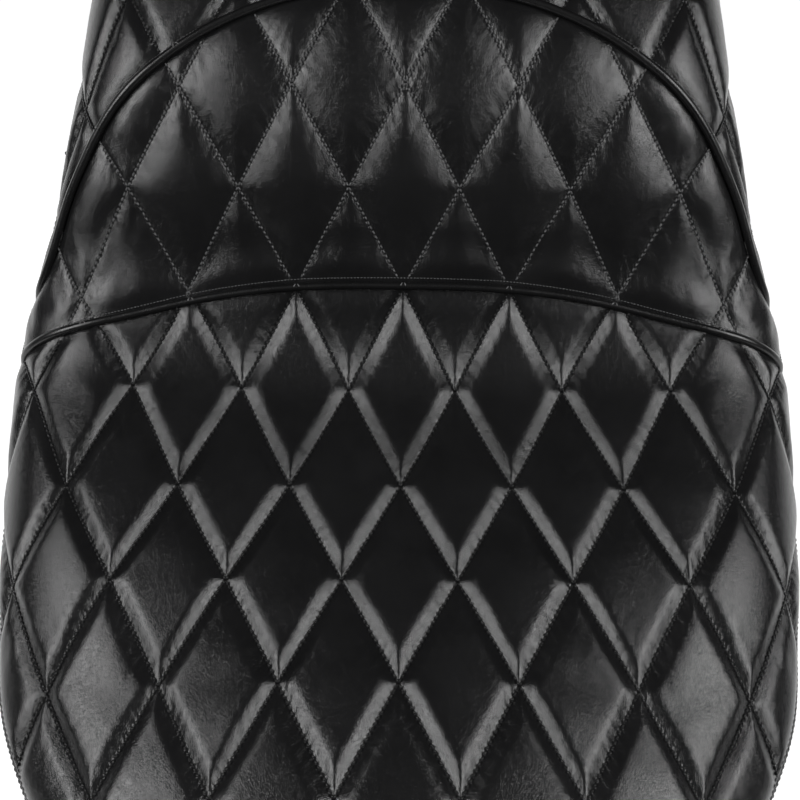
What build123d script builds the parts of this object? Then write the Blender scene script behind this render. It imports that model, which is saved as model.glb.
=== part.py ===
from build123d import *
import math
import os

# Two-up step motorcycle seat: moulded pan and foam, quilted padding, sewn cover with piping,
# turned-under skirt, staples, steel mounting brackets, rubber bumpers, captive thumb screw.
#
# Frame: millimetres, +Z up, -Y towards the handlebars, +X to the side.
# Origin: centre of the footprint, on the plane the rail bumpers stand on.
# The outer skin is one height field over the plan outline. Cover, padding and foam tops are
# offsets of it, so they nest without touching.

# ------------------------------------------------------------------ driving sizes
VINYL_T = 1.2            # cover material
LAYER_GAP = 1.0          # free space between cover and padding
PAD_IN = 9.5             # depth of the padding's inner face under the skin
PAD_EDGE = 4.0           # the padding is skived down to this depth at its edges
FOAM_GAP = 2.2           # padding to foam
WELT_R = 2.0             # outside radius of the piping
WELT_WALL = 0.6          # vinyl sleeve of the piping
WELT_PROUD = 0.7         # piping centre above the skin
CORD_GAP = 0.35          # cord to sleeve
WELT_CLEAR = 3.0         # panel edge to piping centre line
PAN_T = 3.6              # moulded pan wall
PAN_SIDE_GAP = VINYL_T + 0.5
PAN_INSET = 2.6          # pan edge further inside the skirt than the side gap
HEM_GAP = 0.9            # turned-under cover to pan rim
HEM_IN = 17.0            # width of cover turned under the pan rim
HEM_BEND = 4.2           # bend radius at the bottom edge
SKIRT_BULGE = 2.7        # outward bulge of the skirt below the edge seam
SKIRT_DROP = 0.5         # skirt top below the edge seam

# plan outline: centre-line ends, and the corners where they meet the sides
NOSE_Y, REAR_Y = -392.0, 380.0
NOSE_X, NOSE_CORNER_Y = 95.0, -380.0
REAR_X, REAR_CORNER_Y = 124.0, 364.0
NOSE_ROUND, REAR_ROUND = 45.0, 55.0      # length over which the skin rolls down at each end

# mounting hardware
TIP = 408.0              # bracket tips from the origin, front and rear
PLATE_T = 3.0            # steel bracket plate
TONGUE_Z = 34.0          # underside of the front tongue
TAB_Z = 66.0             # underside of the rear tab
TIP_STEP = 0.8           # how much the tongue's tip is thinned
RIVET_R = 2.4
HOLE_PLAY = 0.05         # radial play round rivets
SEAT_GAP = 0.05          # air between touching metal pieces
SCREW_R = 3.175          # 1/4 inch thumb screw
SCREW_PITCH = 1.27       # 20 threads per inch
SCREW_TURNS = 4.0
SCREW_Y = 392.0
STAPLE_W = 10.0
STAPLE_WIRE = 0.6


# ------------------------------------------------------------------ profile curves
class Profile:
    """Natural cubic spline through knots, held constant beyond both ends."""

    def __init__(self, xs, ys):
        n = len(xs)
        gap = [xs[i + 1] - xs[i] for i in range(n - 1)]
        rise = [(ys[i + 1] - ys[i]) / gap[i] for i in range(n - 1)]
        # tridiagonal system for the second-order coefficients
        low, diag, up, rhs = [0.0] * n, [1.0] * n, [0.0] * n, [0.0] * n
        for i in range(1, n - 1):
            low[i] = gap[i - 1]
            diag[i] = 2 * (gap[i - 1] + gap[i])
            up[i] = gap[i]
            rhs[i] = 3 * (rise[i] - rise[i - 1])
        for i in range(1, n):
            ratio = low[i] / diag[i - 1]
            diag[i] -= ratio * up[i - 1]
            rhs[i] -= ratio * rhs[i - 1]
        square = [0.0] * n
        for i in range(n - 2, -1, -1):
            square[i] = (rhs[i] - up[i] * square[i + 1]) / diag[i]
        self.xs, self.ys, self.square = xs, ys, square
        self.slope = [rise[i] - gap[i] * (2 * square[i] + square[i + 1]) / 3
                      for i in range(n - 1)]
        self.cube = [(square[i + 1] - square[i]) / (3 * gap[i]) for i in range(n - 1)]

    def __call__(self, x):
        xs = self.xs
        x = min(max(x, xs[0]), xs[-1])
        i = 0
        while i < len(xs) - 2 and x >= xs[i + 1]:
            i += 1
        t = x - xs[i]
        return self.ys[i] + self.slope[i] * t + self.square[i] * t * t + self.cube[i] * t ** 3


# Each table: stations along Y, then the value at each.
# centre-line height: nose, bucket, riser, pillion
centre_z = Profile(
    [-400, -370, -330, -280, -229, -180, -130, -95, -72, -50, -30, 4.5, 43.6, 75,
     110, 150, 200, 260, 320, 360, 400],
    [127, 133, 135.5, 132.5, 125.5, 118, 111, 106.3, 106.5, 115, 129.5, 163.5, 197.5, 212.5,
     220.5, 223.5, 222.5, 219, 213, 208, 202])
# half width at the edge seam
seam_x = Profile(
    [-400, -380, -355, -330, -300, -270, -241, -210, -180, -150, -120, -90, -56, -30,
     0, 31, 50, 76, 100, 140, 200, 250, 290, 325, 350, 365, 380, 400],
    [84, 95, 112, 132, 157, 175, 187.5, 193.8, 198.8, 202.4, 204.8, 206, 204.6, 197,
     184.6, 173.7, 168.8, 165.2, 163.2, 161.5, 160, 157.5, 152.5, 143, 132, 123, 111, 95])
# height of the edge seam
seam_z = Profile(
    [-400, -370, -330, -280, -230, -180, -122, -85, -56, -30,
     0, 40, 76, 120, 180, 250, 320, 362, 400],
    [84, 90, 95, 97, 93, 86, 81, 80, 86, 100,
     124, 154, 168, 174, 174, 171, 164, 156, 148])
# side-to-side dish (+) or crown (-), at DISH_X off centre
DISH_X = 140.0
dish = Profile([-400, -300, -229, -180, -130, -77, -40, 0, 60, 120, 200, 300, 400],
               [-14, -14, -7, 1, 5, 8, 5, 0, -3, -3, -2, -4, -8])
shoulder_radius = Profile([-400, -300, -200, -100, 0, 100, 200, 300, 400],
                          [48, 55, 62, 58, 48, 46, 46, 46, 46])
# bottom edge of the skirt, and how far it tucks in from the seam
hem_z = Profile([-400, -380, -340, -290, -230, -170, -60, 40, 110, 190, 280, 340, 400],
                [50, 46, 34, 21, 13, 9.5, 8, 10, 20, 40, 62, 76, 88])
skirt_tuck = Profile([-400, -300, -150, 0, 150, 300, 400], [12, 15, 17, 15, 15, 14, 12])
# rise of the pan above its rim
pan_rise = Profile([-400, -340, -250, -100, 40, 120, 250, 330, 400],
                   [12, 18, 27, 28, 30, 34, 34, 28, 20])

# Piping lines: |x| stations, then y at each. Both end on the edge seam.
BASE_WELT_END_Y = -62.0
BASE_WELT_X = 206.0
base_welt_y = Profile([-60, 0, 60, 100, 140, 170, 190, BASE_WELT_X],
                      [-31.6, -30, -31.6, -36.6, -45.5, -52.5, -57.0, BASE_WELT_END_Y])
ARCH_END_Y = -33.0
ARCH_X = seam_x(ARCH_END_Y)
ARCH_END_SLIDE = 1.05    # y shift of the arch's ends per unit of offset
arch_welt_y = Profile(
    [-40, 0, 40, 80, 105, 127, 148.4, 161, 170.5, 178.5, 187, ARCH_X],
    [84.2, 87, 84.2, 73, 61, 47, 29.4, 15, 2.0, -12.5, -24.0, ARCH_END_Y])


# ------------------------------------------------------------------ vectors and simple solids
def add(a, b, k=1.0):
    return (a[0] + b[0] * k, a[1] + b[1] * k, a[2] + b[2] * k)


def subtract(a, b):
    return (a[0] - b[0], a[1] - b[1], a[2] - b[2])


def negate(a):
    return (-a[0], -a[1], -a[2])


def cross(a, b):
    return (a[1] * b[2] - a[2] * b[1], a[2] * b[0] - a[0] * b[2], a[0] * b[1] - a[1] * b[0])


def unit(a):
    length = math.sqrt(a[0] ** 2 + a[1] ** 2 + a[2] ** 2) or 1.0
    return (a[0] / length, a[1] / length, a[2] / length)


def smooth(k):
    return k * k * (3 - 2 * k)


def cosine_ease(k):
    return 0.5 - 0.5 * math.cos(math.pi * k)


def both_sides(spots):
    """Mirror (x, y) spots across the centre line."""
    return [(side * x, y) for x, y in spots for side in (-1, 1)]


def cylinder(radius, height, x, y, z):
    """Upright cylinder with its foot centre at x, y, z."""
    return Solid.make_cylinder(radius, height, Plane((x, y, z)))


def box(width, length, height, y, z):
    """Box centred on x = 0, from its lowest y and z."""
    return Solid.make_box(width, length, height, Plane((-width / 2, y, z)))


def lowest_circle(shape):
    return shape.edges().filter_by(GeomType.CIRCLE).sort_by(Axis.Z)[0]


# ------------------------------------------------------------------ plan outline and skin
# end: (Y direction, y on the centre line, half width, bow from centre to corner)
ENDS = {
    "nose": (-1, NOSE_Y, NOSE_X, NOSE_CORNER_Y - NOSE_Y),
    "rear": (1, REAR_Y, REAR_X, REAR_Y - REAR_CORNER_Y),
}
SIDES = {"left": -1, "right": 1}
# outline run: the runs met at its start and finish, and the parameter of both meeting points
NEIGHBOURS = {
    "left": ("nose", "rear", 0.0),
    "right": ("nose", "rear", 1.0),
    "nose": ("left", "right", 0.0),
    "rear": ("left", "right", 1.0),
}


def end_y(which, x):
    direction, middle_y, half_width, bow = ENDS[which]
    return middle_y - direction * bow * (x / half_width) ** 2


def end_normal(which, x):
    direction, _, half_width, bow = ENDS[which]
    return unit((2 * bow * x / half_width ** 2, direction, 0))


def side_normal(side, y):
    slope = (seam_x(y + 1) - seam_x(y - 1)) / 2
    return unit((side, -slope, 0))


def end_curve(which):
    half_width = ENDS[which][2]

    def at(s):
        x = (2 * s - 1) * half_width
        return (x, end_y(which, x))
    return at


def side_curve(y0, y1, side):
    return lambda t: (side * seam_x(y0 + (y1 - y0) * t), y0 + (y1 - y0) * t)


def roll_off(distance, radius):
    """Quarter-round fall from 1 inside to 0 on the edge."""
    t = min(max(1 - distance / radius, 0.0), 1.0)
    return math.sqrt(max(0.0, 1 - t * t))


def skin_z(x, y):
    """Outer skin height over the plan outline."""
    weight = (roll_off(seam_x(y) - abs(x), shoulder_radius(y))
              * roll_off(y - end_y("nose", x), NOSE_ROUND)
              * roll_off(end_y("rear", x) - y, REAR_ROUND))
    top = centre_z(y) + dish(y) * (x / DISH_X) ** 2
    edge = seam_z(y)
    return edge + (top - edge) * weight


# ------------------------------------------------------------------ grids and patches
def coons(front, rear, left, right):
    """Plan mapping (s, t) in 0..1 from four boundary curves.

    front and rear run -X to +X, left and right run front to rear."""
    c00, c10, c01, c11 = front(0.0), front(1.0), rear(0.0), rear(1.0)

    def at(s, t):
        f, r, l, q = front(s), rear(s), left(t), right(t)
        return [(1 - t) * f[k] + t * r[k] + (1 - s) * l[k] + s * q[k]
                - ((1 - s) * (1 - t) * c00[k] + s * (1 - t) * c10[k]
                   + (1 - s) * t * c01[k] + s * t * c11[k]) for k in (0, 1)]
    return at


def seam_plan(front, rear, y0, y1):
    """Plan between two cross curves, with the edge seam on both sides from y0 to y1."""
    return coons(front, rear, side_curve(y0, y1, -1), side_curve(y0, y1, 1))


def running_length(points):
    run = [0.0]
    for a, b in zip(points, points[1:]):
        run.append(run[-1] + math.dist(a, b))
    return run


def even_stations(curve, n, dense=300):
    """Parameters 0..1 that split a curve of points into n equal lengths."""
    ks = [cosine_ease(i / dense) for i in range(dense + 1)]
    run = running_length([curve(k) for k in ks])
    out, j = [], 0
    for i in range(n + 1):
        want = run[-1] * i / n
        while j < dense - 1 and run[j + 1] < want:
            j += 1
        part = min(1.0, (want - run[j]) / max(run[j + 1] - run[j], 1e-9))
        out.append(ks[j] + (ks[j + 1] - ks[j]) * part)
    out[0], out[-1] = 0.0, 1.0
    return out


def skin_grid(plan, ns, nt, depth, ends=()):
    """Evenly spaced grid of skin points, pushed inward by depth(across, along).

    ends names the seat ends that the grid reaches."""
    def point(s, t):
        x, y = plan(s, t)
        return (x, y, skin_z(x, y))

    step = 4e-4
    rows = []
    for j, t in enumerate(even_stations(lambda k: point(0.5, k), nt)):
        row = []
        for i, s in enumerate(even_stations(lambda k: point(k, t), ns)):
            base = point(s, t)
            # difference towards the middle, so it stays inside the plan
            ds = step if s < 0.5 else -step
            dt = step if t < 0.5 else -step
            across = subtract(point(s + ds, t), base)
            along = subtract(point(s, t + dt), base)
            normal = unit(cross(across, along))
            if ds * dt < 0:
                normal = negate(normal)
            on_side = i in (0, ns)
            if on_side:
                # the skin stands vertical on the edge seam
                normal = side_normal(-1 if i == 0 else 1, base[1])
            if j == 0 and "nose" in ends or j == nt and "rear" in ends:
                outward = end_normal("nose" if j == 0 else "rear", base[0])
                normal = unit(add(normal, outward)) if on_side else outward
            row.append(add(base, normal, -depth(i / ns, j / nt)))
        rows.append(row)
    return rows


def boundary_edge(face, grid, start, finish):
    """Edge of the face between two grid corners, and whether it runs start to finish."""
    a = Vector(*grid[start[0]][start[1]])
    b = Vector(*grid[finish[0]][finish[1]])

    def miss(edge):
        p, q = edge.position_at(0), edge.position_at(1)
        return min((p - a).length + (q - b).length, (p - b).length + (q - a).length)

    edge = min(face.edges(), key=miss)
    forward = (edge.position_at(0) - a).length < (edge.position_at(1) - a).length
    return edge, forward


def patch(top, bottom, tol=0.15):
    """Closed solid between two four-sided grids, with ruled walls."""
    top_face = Face.make_surface_from_array_of_points(top, tol=tol)
    bottom_face = Face.make_surface_from_array_of_points(bottom, tol=tol)
    walls = []
    # -1 is the last row or column
    for start, finish in (((0, 0), (0, -1)), ((-1, 0), (-1, -1)),
                          ((0, -1), (-1, -1)), ((0, 0), (-1, 0))):
        upper, upper_forward = boundary_edge(top_face, top, start, finish)
        lower, lower_forward = boundary_edge(bottom_face, bottom, start, finish)
        # both edges must run the same way, or the wall twists
        if upper_forward != lower_forward:
            lower = lower.reversed()
        walls.append(Face.make_surface_from_curves(upper, lower))
    faces = [top_face, bottom_face, *walls]
    solid = Solid(Shell(faces))
    if solid.volume < 0:
        solid = Solid(Shell([-f for f in faces]))
    return solid


# ------------------------------------------------------------------ piping lines in plan
def base_welt_curve(offset):
    """Line at the foot of the riser, moved along Y by offset."""
    def at(s):
        x_end = seam_x(BASE_WELT_END_Y + offset)
        x = (2 * s - 1) * x_end
        return (x, base_welt_y(abs(x) * BASE_WELT_X / x_end) + offset)
    return at


def arch_end_y(offset):
    return ARCH_END_Y + offset * ARCH_END_SLIDE


def arch_curve(offset):
    """Line over the top of the riser, moved rearward (+) or forward (-) along its normal."""
    def at(s):
        x = ARCH_X * (2 * s - 1)
        if s in (0.0, 1.0):
            # finish on the edge seam
            y = arch_end_y(offset)
            return (math.copysign(seam_x(y), x), y)
        reach = 0.4
        x0, x1 = max(x - reach, -ARCH_X), min(x + reach, ARCH_X)
        dx, dy = x1 - x0, arch_welt_y(abs(x1)) - arch_welt_y(abs(x0))
        length = math.hypot(dx, dy)
        return (x - dy / length * offset, arch_welt_y(abs(x)) + dx / length * offset)
    return at


# ------------------------------------------------------------------ cover and padding
def taper(edge, full, s, t, ends, side_ramp, end_ramp):
    """Depth under the skin: edge at the sides and the named ends, full inside."""
    k = min(1.0, min(s, 1 - s) * 2 / side_ramp)
    if "nose" in ends:
        k = min(k, t / end_ramp)
    if "rear" in ends:
        k = min(k, (1 - t) / end_ramp)
    return edge + (full - edge) * smooth(k)


def make_top_layers():
    """Cover panel and quilt pad of the rider, riser and pillion zones."""
    gap = WELT_CLEAR
    base_front_y, base_rear_y = BASE_WELT_END_Y - gap, BASE_WELT_END_Y + gap
    rider = seam_plan(end_curve("nose"), base_welt_curve(-gap), NOSE_CORNER_Y, base_front_y)
    riser = seam_plan(base_welt_curve(gap), arch_curve(-gap), base_rear_y, arch_end_y(-gap))
    pillion = seam_plan(arch_curve(gap), end_curve("rear"), arch_end_y(gap), REAR_CORNER_Y)
    # panel name, pad name, plan, cells across, cells along, seat end reached
    zones = [
        ("rider_top_panel", "rider_quilt_pad", rider, 24, 22, ("nose",)),
        ("riser_panel", "riser_quilt_pad", riser, 24, 10, ()),
        ("pillion_top_panel", "pillion_quilt_pad", pillion, 24, 24, ("rear",)),
    ]
    made = {}
    for panel, pad, plan, ns, nt, ends in zones:
        def surface(depth):
            return skin_grid(plan, ns, nt, depth, ends)

        def pad_depth(s, t):
            return taper(PAD_EDGE, PAD_IN, s, t, ends, side_ramp=0.16, end_ramp=0.07)

        made[panel] = patch(surface(lambda s, t: 0.0), surface(lambda s, t: VINYL_T))
        made[pad] = patch(surface(lambda s, t: VINYL_T + LAYER_GAP), surface(pad_depth))
    return made


# ------------------------------------------------------------------ skirt
def seam_point(which, s):
    """Point on the edge seam and its plan normal."""
    if which in SIDES:
        side = SIDES[which]
        y = NOSE_CORNER_Y + (REAR_CORNER_Y - NOSE_CORNER_Y) * s
        return side * seam_x(y), y, side_normal(side, y)
    x, y = end_curve(which)(s)
    return x, y, end_normal(which, x)


def corner_normal(which, s):
    """Seam point, its normal eased into the corner bisector so neighbouring panels meet."""
    x, y, n = seam_point(which, s)
    first, last, meeting = NEIGHBOURS[which]
    span = 0.07 if which in SIDES else 0.25
    for corner, other in ((0.0, first), (1.0, last)):
        away = abs(s - corner)
        if away < span:
            bisector = unit(add(n, seam_point(other, meeting)[2]))
            scale = 1.0 / max(0.5, bisector[0] * n[0] + bisector[1] * n[1])
            k = smooth(1 - away / span)
            n = (n[0] + (bisector[0] * scale - n[0]) * k,
                 n[1] + (bisector[1] * scale - n[1]) * k, 0)
    return x, y, n


WALL_SHARES = (0.0, 0.12, 0.26, 0.42, 0.6, 0.8, 1.0)
BEND_ANGLES = (22, 45, 68, 90)
HEM_SHARES = (0.35, 0.7, 1.0)


def skirt_section(tuck):
    """Skirt's outer face as (outward, share of the drop, lift above the bottom edge)."""
    out = []
    for q in WALL_SHARES:
        bulge = SKIRT_BULGE * math.sin(math.pi * min(1.0, q * 1.1)) ** 0.9
        out.append((-tuck * q + bulge, q, HEM_BEND))
    for angle in BEND_ANGLES:
        a = math.radians(angle)
        out.append((-tuck - HEM_BEND * (1 - math.cos(a)), 1.0, HEM_BEND * (1 - math.sin(a))))
    for w in HEM_SHARES:
        out.append((-tuck - HEM_BEND - HEM_IN * w, 1.0, 0.0))
    return out


def skirt_grid(which, n, depth, s0, s1):
    """Rows of section points along one outline run, pushed inward by depth."""
    wall_count = len(WALL_SHARES)
    hem_start = wall_count + len(BEND_ANGLES) - 1
    rows = []
    for i in range(n + 1):
        # stations gather towards the corners
        s = s0 + (s1 - s0) * (0.55 * i / n + 0.45 * cosine_ease(i / n))
        x, y, normal = corner_normal(which, s)
        top = seam_z(y) - SKIRT_DROP
        section = []
        for out, share, lift in skirt_section(skirt_tuck(y)):
            low = hem_z(y + normal[1] * out) + lift
            section.append((out, top + (low - top) * share))
        row = []
        for k, (out, z) in enumerate(section):
            before = section[max(k - 1, 0)]
            after = section[min(k + 1, len(section) - 1)]
            d_out, dz = after[0] - before[0], after[1] - before[1]
            length = math.hypot(d_out, dz)
            # outward normal of the section
            n_out, nz = -dz / length, d_out / length
            if n_out < 0 and k < wall_count:
                n_out, nz = -n_out, -nz
            if k >= hem_start:
                n_out, nz = 0.0, -1.0
            if k == 0:
                n_out, nz = 1.0, 0.0
            out -= n_out * depth
            row.append((x + normal[0] * out, y + normal[1] * out, z - nz * depth))
        rows.append(row)
    return rows


def make_skirt_panel(which, n, margin):
    """Skirt panel along one outline run, stopping margin short of both corners."""
    span = (margin, 1 - margin)
    return patch(skirt_grid(which, n, 0.0, *span), skirt_grid(which, n, VINYL_T, *span), tol=0.05)


# ------------------------------------------------------------------ piping
def ride_frames(curve, n, s0, s1):
    """Evenly spaced (point, up, side) frames along a plan curve, just proud of the skin."""
    dense = 600
    e = 0.05
    points, ups = [], []
    for i in range(dense + 1):
        x, y = curve(s0 + (s1 - s0) * i / dense)
        # slope across is taken towards the centre line, clear of the edge seam
        right_x, left_x = (x + e, x) if x < 0 else (x, x - e)
        gx = (skin_z(right_x, y) - skin_z(left_x, y)) / e
        gy = (skin_z(x, y + e) - skin_z(x, y - e)) / (2 * e)
        up = unit((-gx, -gy, 1))
        points.append(add((x, y, skin_z(x, y)), up, WELT_PROUD))
        ups.append(up)
    run = running_length(points)
    out, j = [], 0
    for i in range(n + 1):
        want = run[-1] * i / n
        while j < dense - 1 and run[j + 1] < want:
            j += 1
        k = (want - run[j]) / (run[j + 1] - run[j])
        chord = subtract(points[j + 1], points[j])
        along = unit(chord)
        side = unit(cross(along, ups[j]))
        out.append((add(points[j], chord, k), unit(cross(side, along)), side))
    return out


def round_grid(frames, r, degrees):
    angles = [math.radians(a) for a in degrees]
    return [[add(add(at, up, r * math.cos(a)), side, r * math.sin(a)) for a in angles]
            for at, up, side in frames]


def make_piping(curve, n, margin):
    """Vinyl sleeve, open underneath, round a cord that shows a little at both ends."""
    cord_show = 0.001
    sleeve_frames = ride_frames(curve, n, margin, 1 - margin)
    cord_frames = ride_frames(curve, n, margin - cord_show, 1 - margin + cord_show)
    wrap = range(-150, 151, 15)
    sleeve = patch(round_grid(sleeve_frames, WELT_R, wrap),
                   round_grid(sleeve_frames, WELT_R - WELT_WALL, wrap))
    upper = range(-80, 81, 20)
    lower = [-180 - a for a in upper]
    cord_r = WELT_R - WELT_WALL - CORD_GAP
    cord = patch(round_grid(cord_frames, cord_r, upper), round_grid(cord_frames, cord_r, lower))
    return sleeve, cord


# ------------------------------------------------------------------ pan surface
def pan_outline(which):
    def at(s):
        x, y, n = corner_normal(which, s)
        out = -(skirt_tuck(y) + PAN_SIDE_GAP + PAN_INSET)
        return (x + n[0] * out, y + n[1] * out)
    return at


pan_plan = coons(*(pan_outline(which) for which in ("nose", "rear", "left", "right")))


def pan_z(s, t):
    """Top face of the pan: rim just above the turned-under hem, centre raised."""
    y = pan_plan(s, t)[1]
    rim = hem_z(y) + VINYL_T + HEM_GAP + PAN_T
    across = min(1.0, min(s, 1 - s) * 2 / 0.30)
    along = min(t / 0.12, (1 - t) / 0.12, 1.0)
    return rim + pan_rise(y) * smooth(across) * smooth(along)


def pan_height(x, y):
    """Top of the pan at a plan point, by searching the patch parameters."""
    length = REAR_CORNER_Y - NOSE_CORNER_Y
    s, t = 0.5, (y - NOSE_CORNER_Y) / length
    for _ in range(40):
        px, py = pan_plan(s, t)
        t = min(1.0, max(0.0, t + (y - py) / length))
        width = pan_plan(1.0, t)[0] - pan_plan(0.0, t)[0]
        s = min(1.0, max(0.0, s + (x - px) / width))
    return pan_z(s, t)


def pan_heights(x, y, reach_x, reach_y):
    """Pan top at nine spots around a plan point."""
    return [pan_height(x + dx, y + dy)
            for dx in (-reach_x, 0, reach_x) for dy in (-reach_y, 0, reach_y)]


def pan_grid(dz):
    """Grid of the pan's top face, shifted by dz."""
    ns, nt = 18, 22
    rows = []
    for j in range(nt + 1):
        row = []
        for i in range(ns + 1):
            s, t = i / ns, j / nt
            row.append((*pan_plan(s, t), pan_z(s, t) + dz))
        rows.append(row)
    return rows


# ------------------------------------------------------------------ pan fittings
RIB_T, RIB_H = 3.0, 9.0
LONG_RIB_X = 62.0
LONG_RIB_Y0, LONG_RIB_Y1 = -292, 296
CROSS_RIB_YS = (-250.0, -175.0, -100.0, -20.0, 150.0, 215.0)
CROSS_RIB_SHARE = 0.60   # of the seam's half width

# bumpers: rail ones stand on z = 0, fender ones start at FENDER_Z
RAIL_FEET = both_sides([(82.0, -272.0), (112.0, -60.0), (106.0, 92.0)])
FENDER_FEET = both_sides([(86.0, 262.0)])
RAIL_H, FENDER_H = 20.0, 14.0
FENDER_Z = 44.0
BOSS_R, SOCKET_R, STEM_R = 11.0, 4.05, 4.0
SINK = 0.4               # bosses and bracket pads stop this far below the pan's top

VENTS = both_sides([(30.0, y) for y in (-215.0, 40.0, 185.0)])
VENT_R = 9.0

# flat pads for the brackets: width, length, centre y
FRONT_PAD = (56.0, 44.0, -332.0)
REAR_PAD = (60.0, 46.0, 316.0)
RIVET_HALF_PITCH = 12.0  # along Y, from the pad's centre


def rivet_spots(x, centre_y):
    return both_sides([(x, centre_y - RIVET_HALF_PITCH), (x, centre_y + RIVET_HALF_PITCH)])


FRONT_RIVETS = rivet_spots(20.0, FRONT_PAD[2])
REAR_RIVETS = rivet_spots(21.0, REAR_PAD[2])
RIVETS = FRONT_RIVETS + REAR_RIVETS


def drill_rivets(shape, spots, depth, z):
    for x, y in spots:
        shape = shape - cylinder(RIVET_R + HOLE_PLAY, depth, x, y, z)
    return shape


def make_rib(points, across):
    """Upright wall from inside the pan wall down to RIB_H below it, along the points."""
    top = [Vector(x, y, pan_height(x, y) - PAN_T * 0.5) for x, y in points]
    low = [p - Vector(0, 0, PAN_T * 0.5 + RIB_H) for p in top]
    upper, lower = Edge.make_spline(top), Edge.make_spline(low)
    outline = Wire([upper, Edge.make_line(top[-1], low[-1]),
                    lower, Edge.make_line(low[0], top[0])])
    half = Vector(*across) * (RIB_T / 2)
    return Solid.extrude(Face(outline).moved(Location(-half)), half * 2)


def make_ribs():
    """Two long ribs and six across, following the pan's lower face."""
    ribs = []
    length = LONG_RIB_Y1 - LONG_RIB_Y0
    for x in (-LONG_RIB_X, LONG_RIB_X):
        ribs.append(make_rib([(x, LONG_RIB_Y0 + length * i / 12) for i in range(13)], (1, 0, 0)))
    for y in CROSS_RIB_YS:
        half = seam_x(y) * CROSS_RIB_SHARE
        ribs.append(make_rib([(-half + 2 * half * i / 10, y) for i in range(11)], (0, 1, 0)))
    return ribs


def make_bracket_pad(width, length, centre_y, z):
    top = min(pan_heights(0, centre_y, width / 2, length / 2)) - SINK
    return box(width, length, top - z, centre_y - length / 2, z)


def make_pan():
    pan = patch(pan_grid(0.0), pan_grid(-PAN_T))
    seats = [(x, y, RAIL_H) for x, y in RAIL_FEET]
    seats += [(x, y, FENDER_Z + FENDER_H) for x, y in FENDER_FEET]
    bosses = []
    for x, y, z in seats:
        # the boss stops inside the pan wall on its low side
        top = min(pan_heights(x, y, BOSS_R, BOSS_R)) - SINK
        bosses.append(cylinder(BOSS_R, top - z, x, y, z))
    pads = [make_bracket_pad(*FRONT_PAD, TONGUE_Z + PLATE_T + 0.1),
            make_bracket_pad(*REAR_PAD, TAB_Z + PLATE_T + 0.1)]
    for tool in make_ribs() + bosses + pads:
        pan = pan + tool
    for x, y, z in seats:
        pan = pan - cylinder(SOCKET_R, 9.0, x, y, z)
    for x, y in VENTS:
        pan = pan - cylinder(VENT_R, 60, x, y, pan_height(x, y) - 30)
    return drill_rivets(pan, RIVETS, 120, 0)


def make_vent_grommet(x, y):
    """Liner through the pan wall with a flange below it."""
    flange_r, flange_t, drop = 12.0, 1.8, 2.2
    low = min(pan_heights(x, y, flange_r, flange_r)) - PAN_T - 0.3
    body = cylinder(VENT_R - 0.1, pan_height(x, y) - low, x, y, low - drop)
    flange = cylinder(flange_r, flange_t, x, y, low - drop)
    hole = cylinder(VENT_R - 2.2, 40, x, y, low - 10)
    return body + flange - hole


# ------------------------------------------------------------------ foam
# highest pan point round each rivet
RIVET_PAN_Z = {(x, y): max(pan_heights(x, y, 8, 8)) for x, y in RIVETS}


def make_foam():
    plan = seam_plan(end_curve("nose"), end_curve("rear"), NOSE_CORNER_Y, REAR_CORNER_Y)
    ends = ("nose", "rear")

    def depth(s, t):
        return taper(PAD_EDGE + FOAM_GAP, PAD_IN + FOAM_GAP, s, t, ends,
                     side_ramp=0.13, end_ramp=0.024)

    foam = patch(skin_grid(plan, 22, 44, depth, ends), pan_grid(0.5))
    # pockets for the rivet tails on the pan
    for (x, y), z in RIVET_PAN_Z.items():
        foam = foam - cylinder(9.0, 30.0, x, y, z - 22.0)
    return foam


# ------------------------------------------------------------------ brackets and rivets
def make_front_tongue():
    width, lip_h = 30.0, 9.0
    plate = box(54.0, 48.0, PLATE_T, FRONT_PAD[2] - 24.0, TONGUE_Z)
    neck = box(width, TIP - 354.0, PLATE_T, -TIP, TONGUE_Z)
    # down-turned lip at the tip
    lip = box(width, PLATE_T, lip_h, -TIP, TONGUE_Z - lip_h + PLATE_T)
    tongue = drill_rivets(plate + neck + lip, FRONT_RIVETS, 20, TONGUE_Z - 5)
    tongue = fillet(tongue.edges().filter_by(Axis.Z).group_by(Axis.Y)[-1], 5.0)
    # the tip is thinned from above
    return tongue - box(40.0, TIP - 394.5, 2.0, -TIP, TONGUE_Z + PLATE_T - TIP_STEP)


def make_rear_tab():
    plate_l, neck_y, hole_r = REAR_PAD[1], 337.0, 3.6
    plate = box(56.0, plate_l, PLATE_T, REAR_PAD[2] - plate_l / 2, TAB_Z)
    neck = box(34.0, TIP - neck_y, PLATE_T, neck_y, TAB_Z)
    tab = plate + neck
    tab = fillet(tab.edges().filter_by(Axis.Z).sort_by(Axis.Y)[-2:], 12.0)
    tab = drill_rivets(tab, REAR_RIVETS, 20, TAB_Z - 5)
    return tab - cylinder(hole_r, 20, 0, SCREW_Y, TAB_Z - 5)


WASHER_T = 1.5
WASHER_LIFT = 0.4        # washer above the highest pan point round its rivet


def make_rivet(x, y, z_under):
    """Blind rivet: dome head below the plate, shank, and set tail above the washer."""
    z_top = RIVET_PAN_Z[x, y] + WASHER_LIFT + WASHER_T
    head = cylinder(4.6, 1.4, x, y, z_under - 1.4 - SEAT_GAP)
    head = fillet(lowest_circle(head), 1.2)
    shank_z = z_under - 1.0
    shank = cylinder(RIVET_R, z_top + 2.6 - shank_z, x, y, shank_z)
    tail = cylinder(3.9, 2.4, x, y, z_top + SEAT_GAP)
    return head + shank + tail


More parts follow.
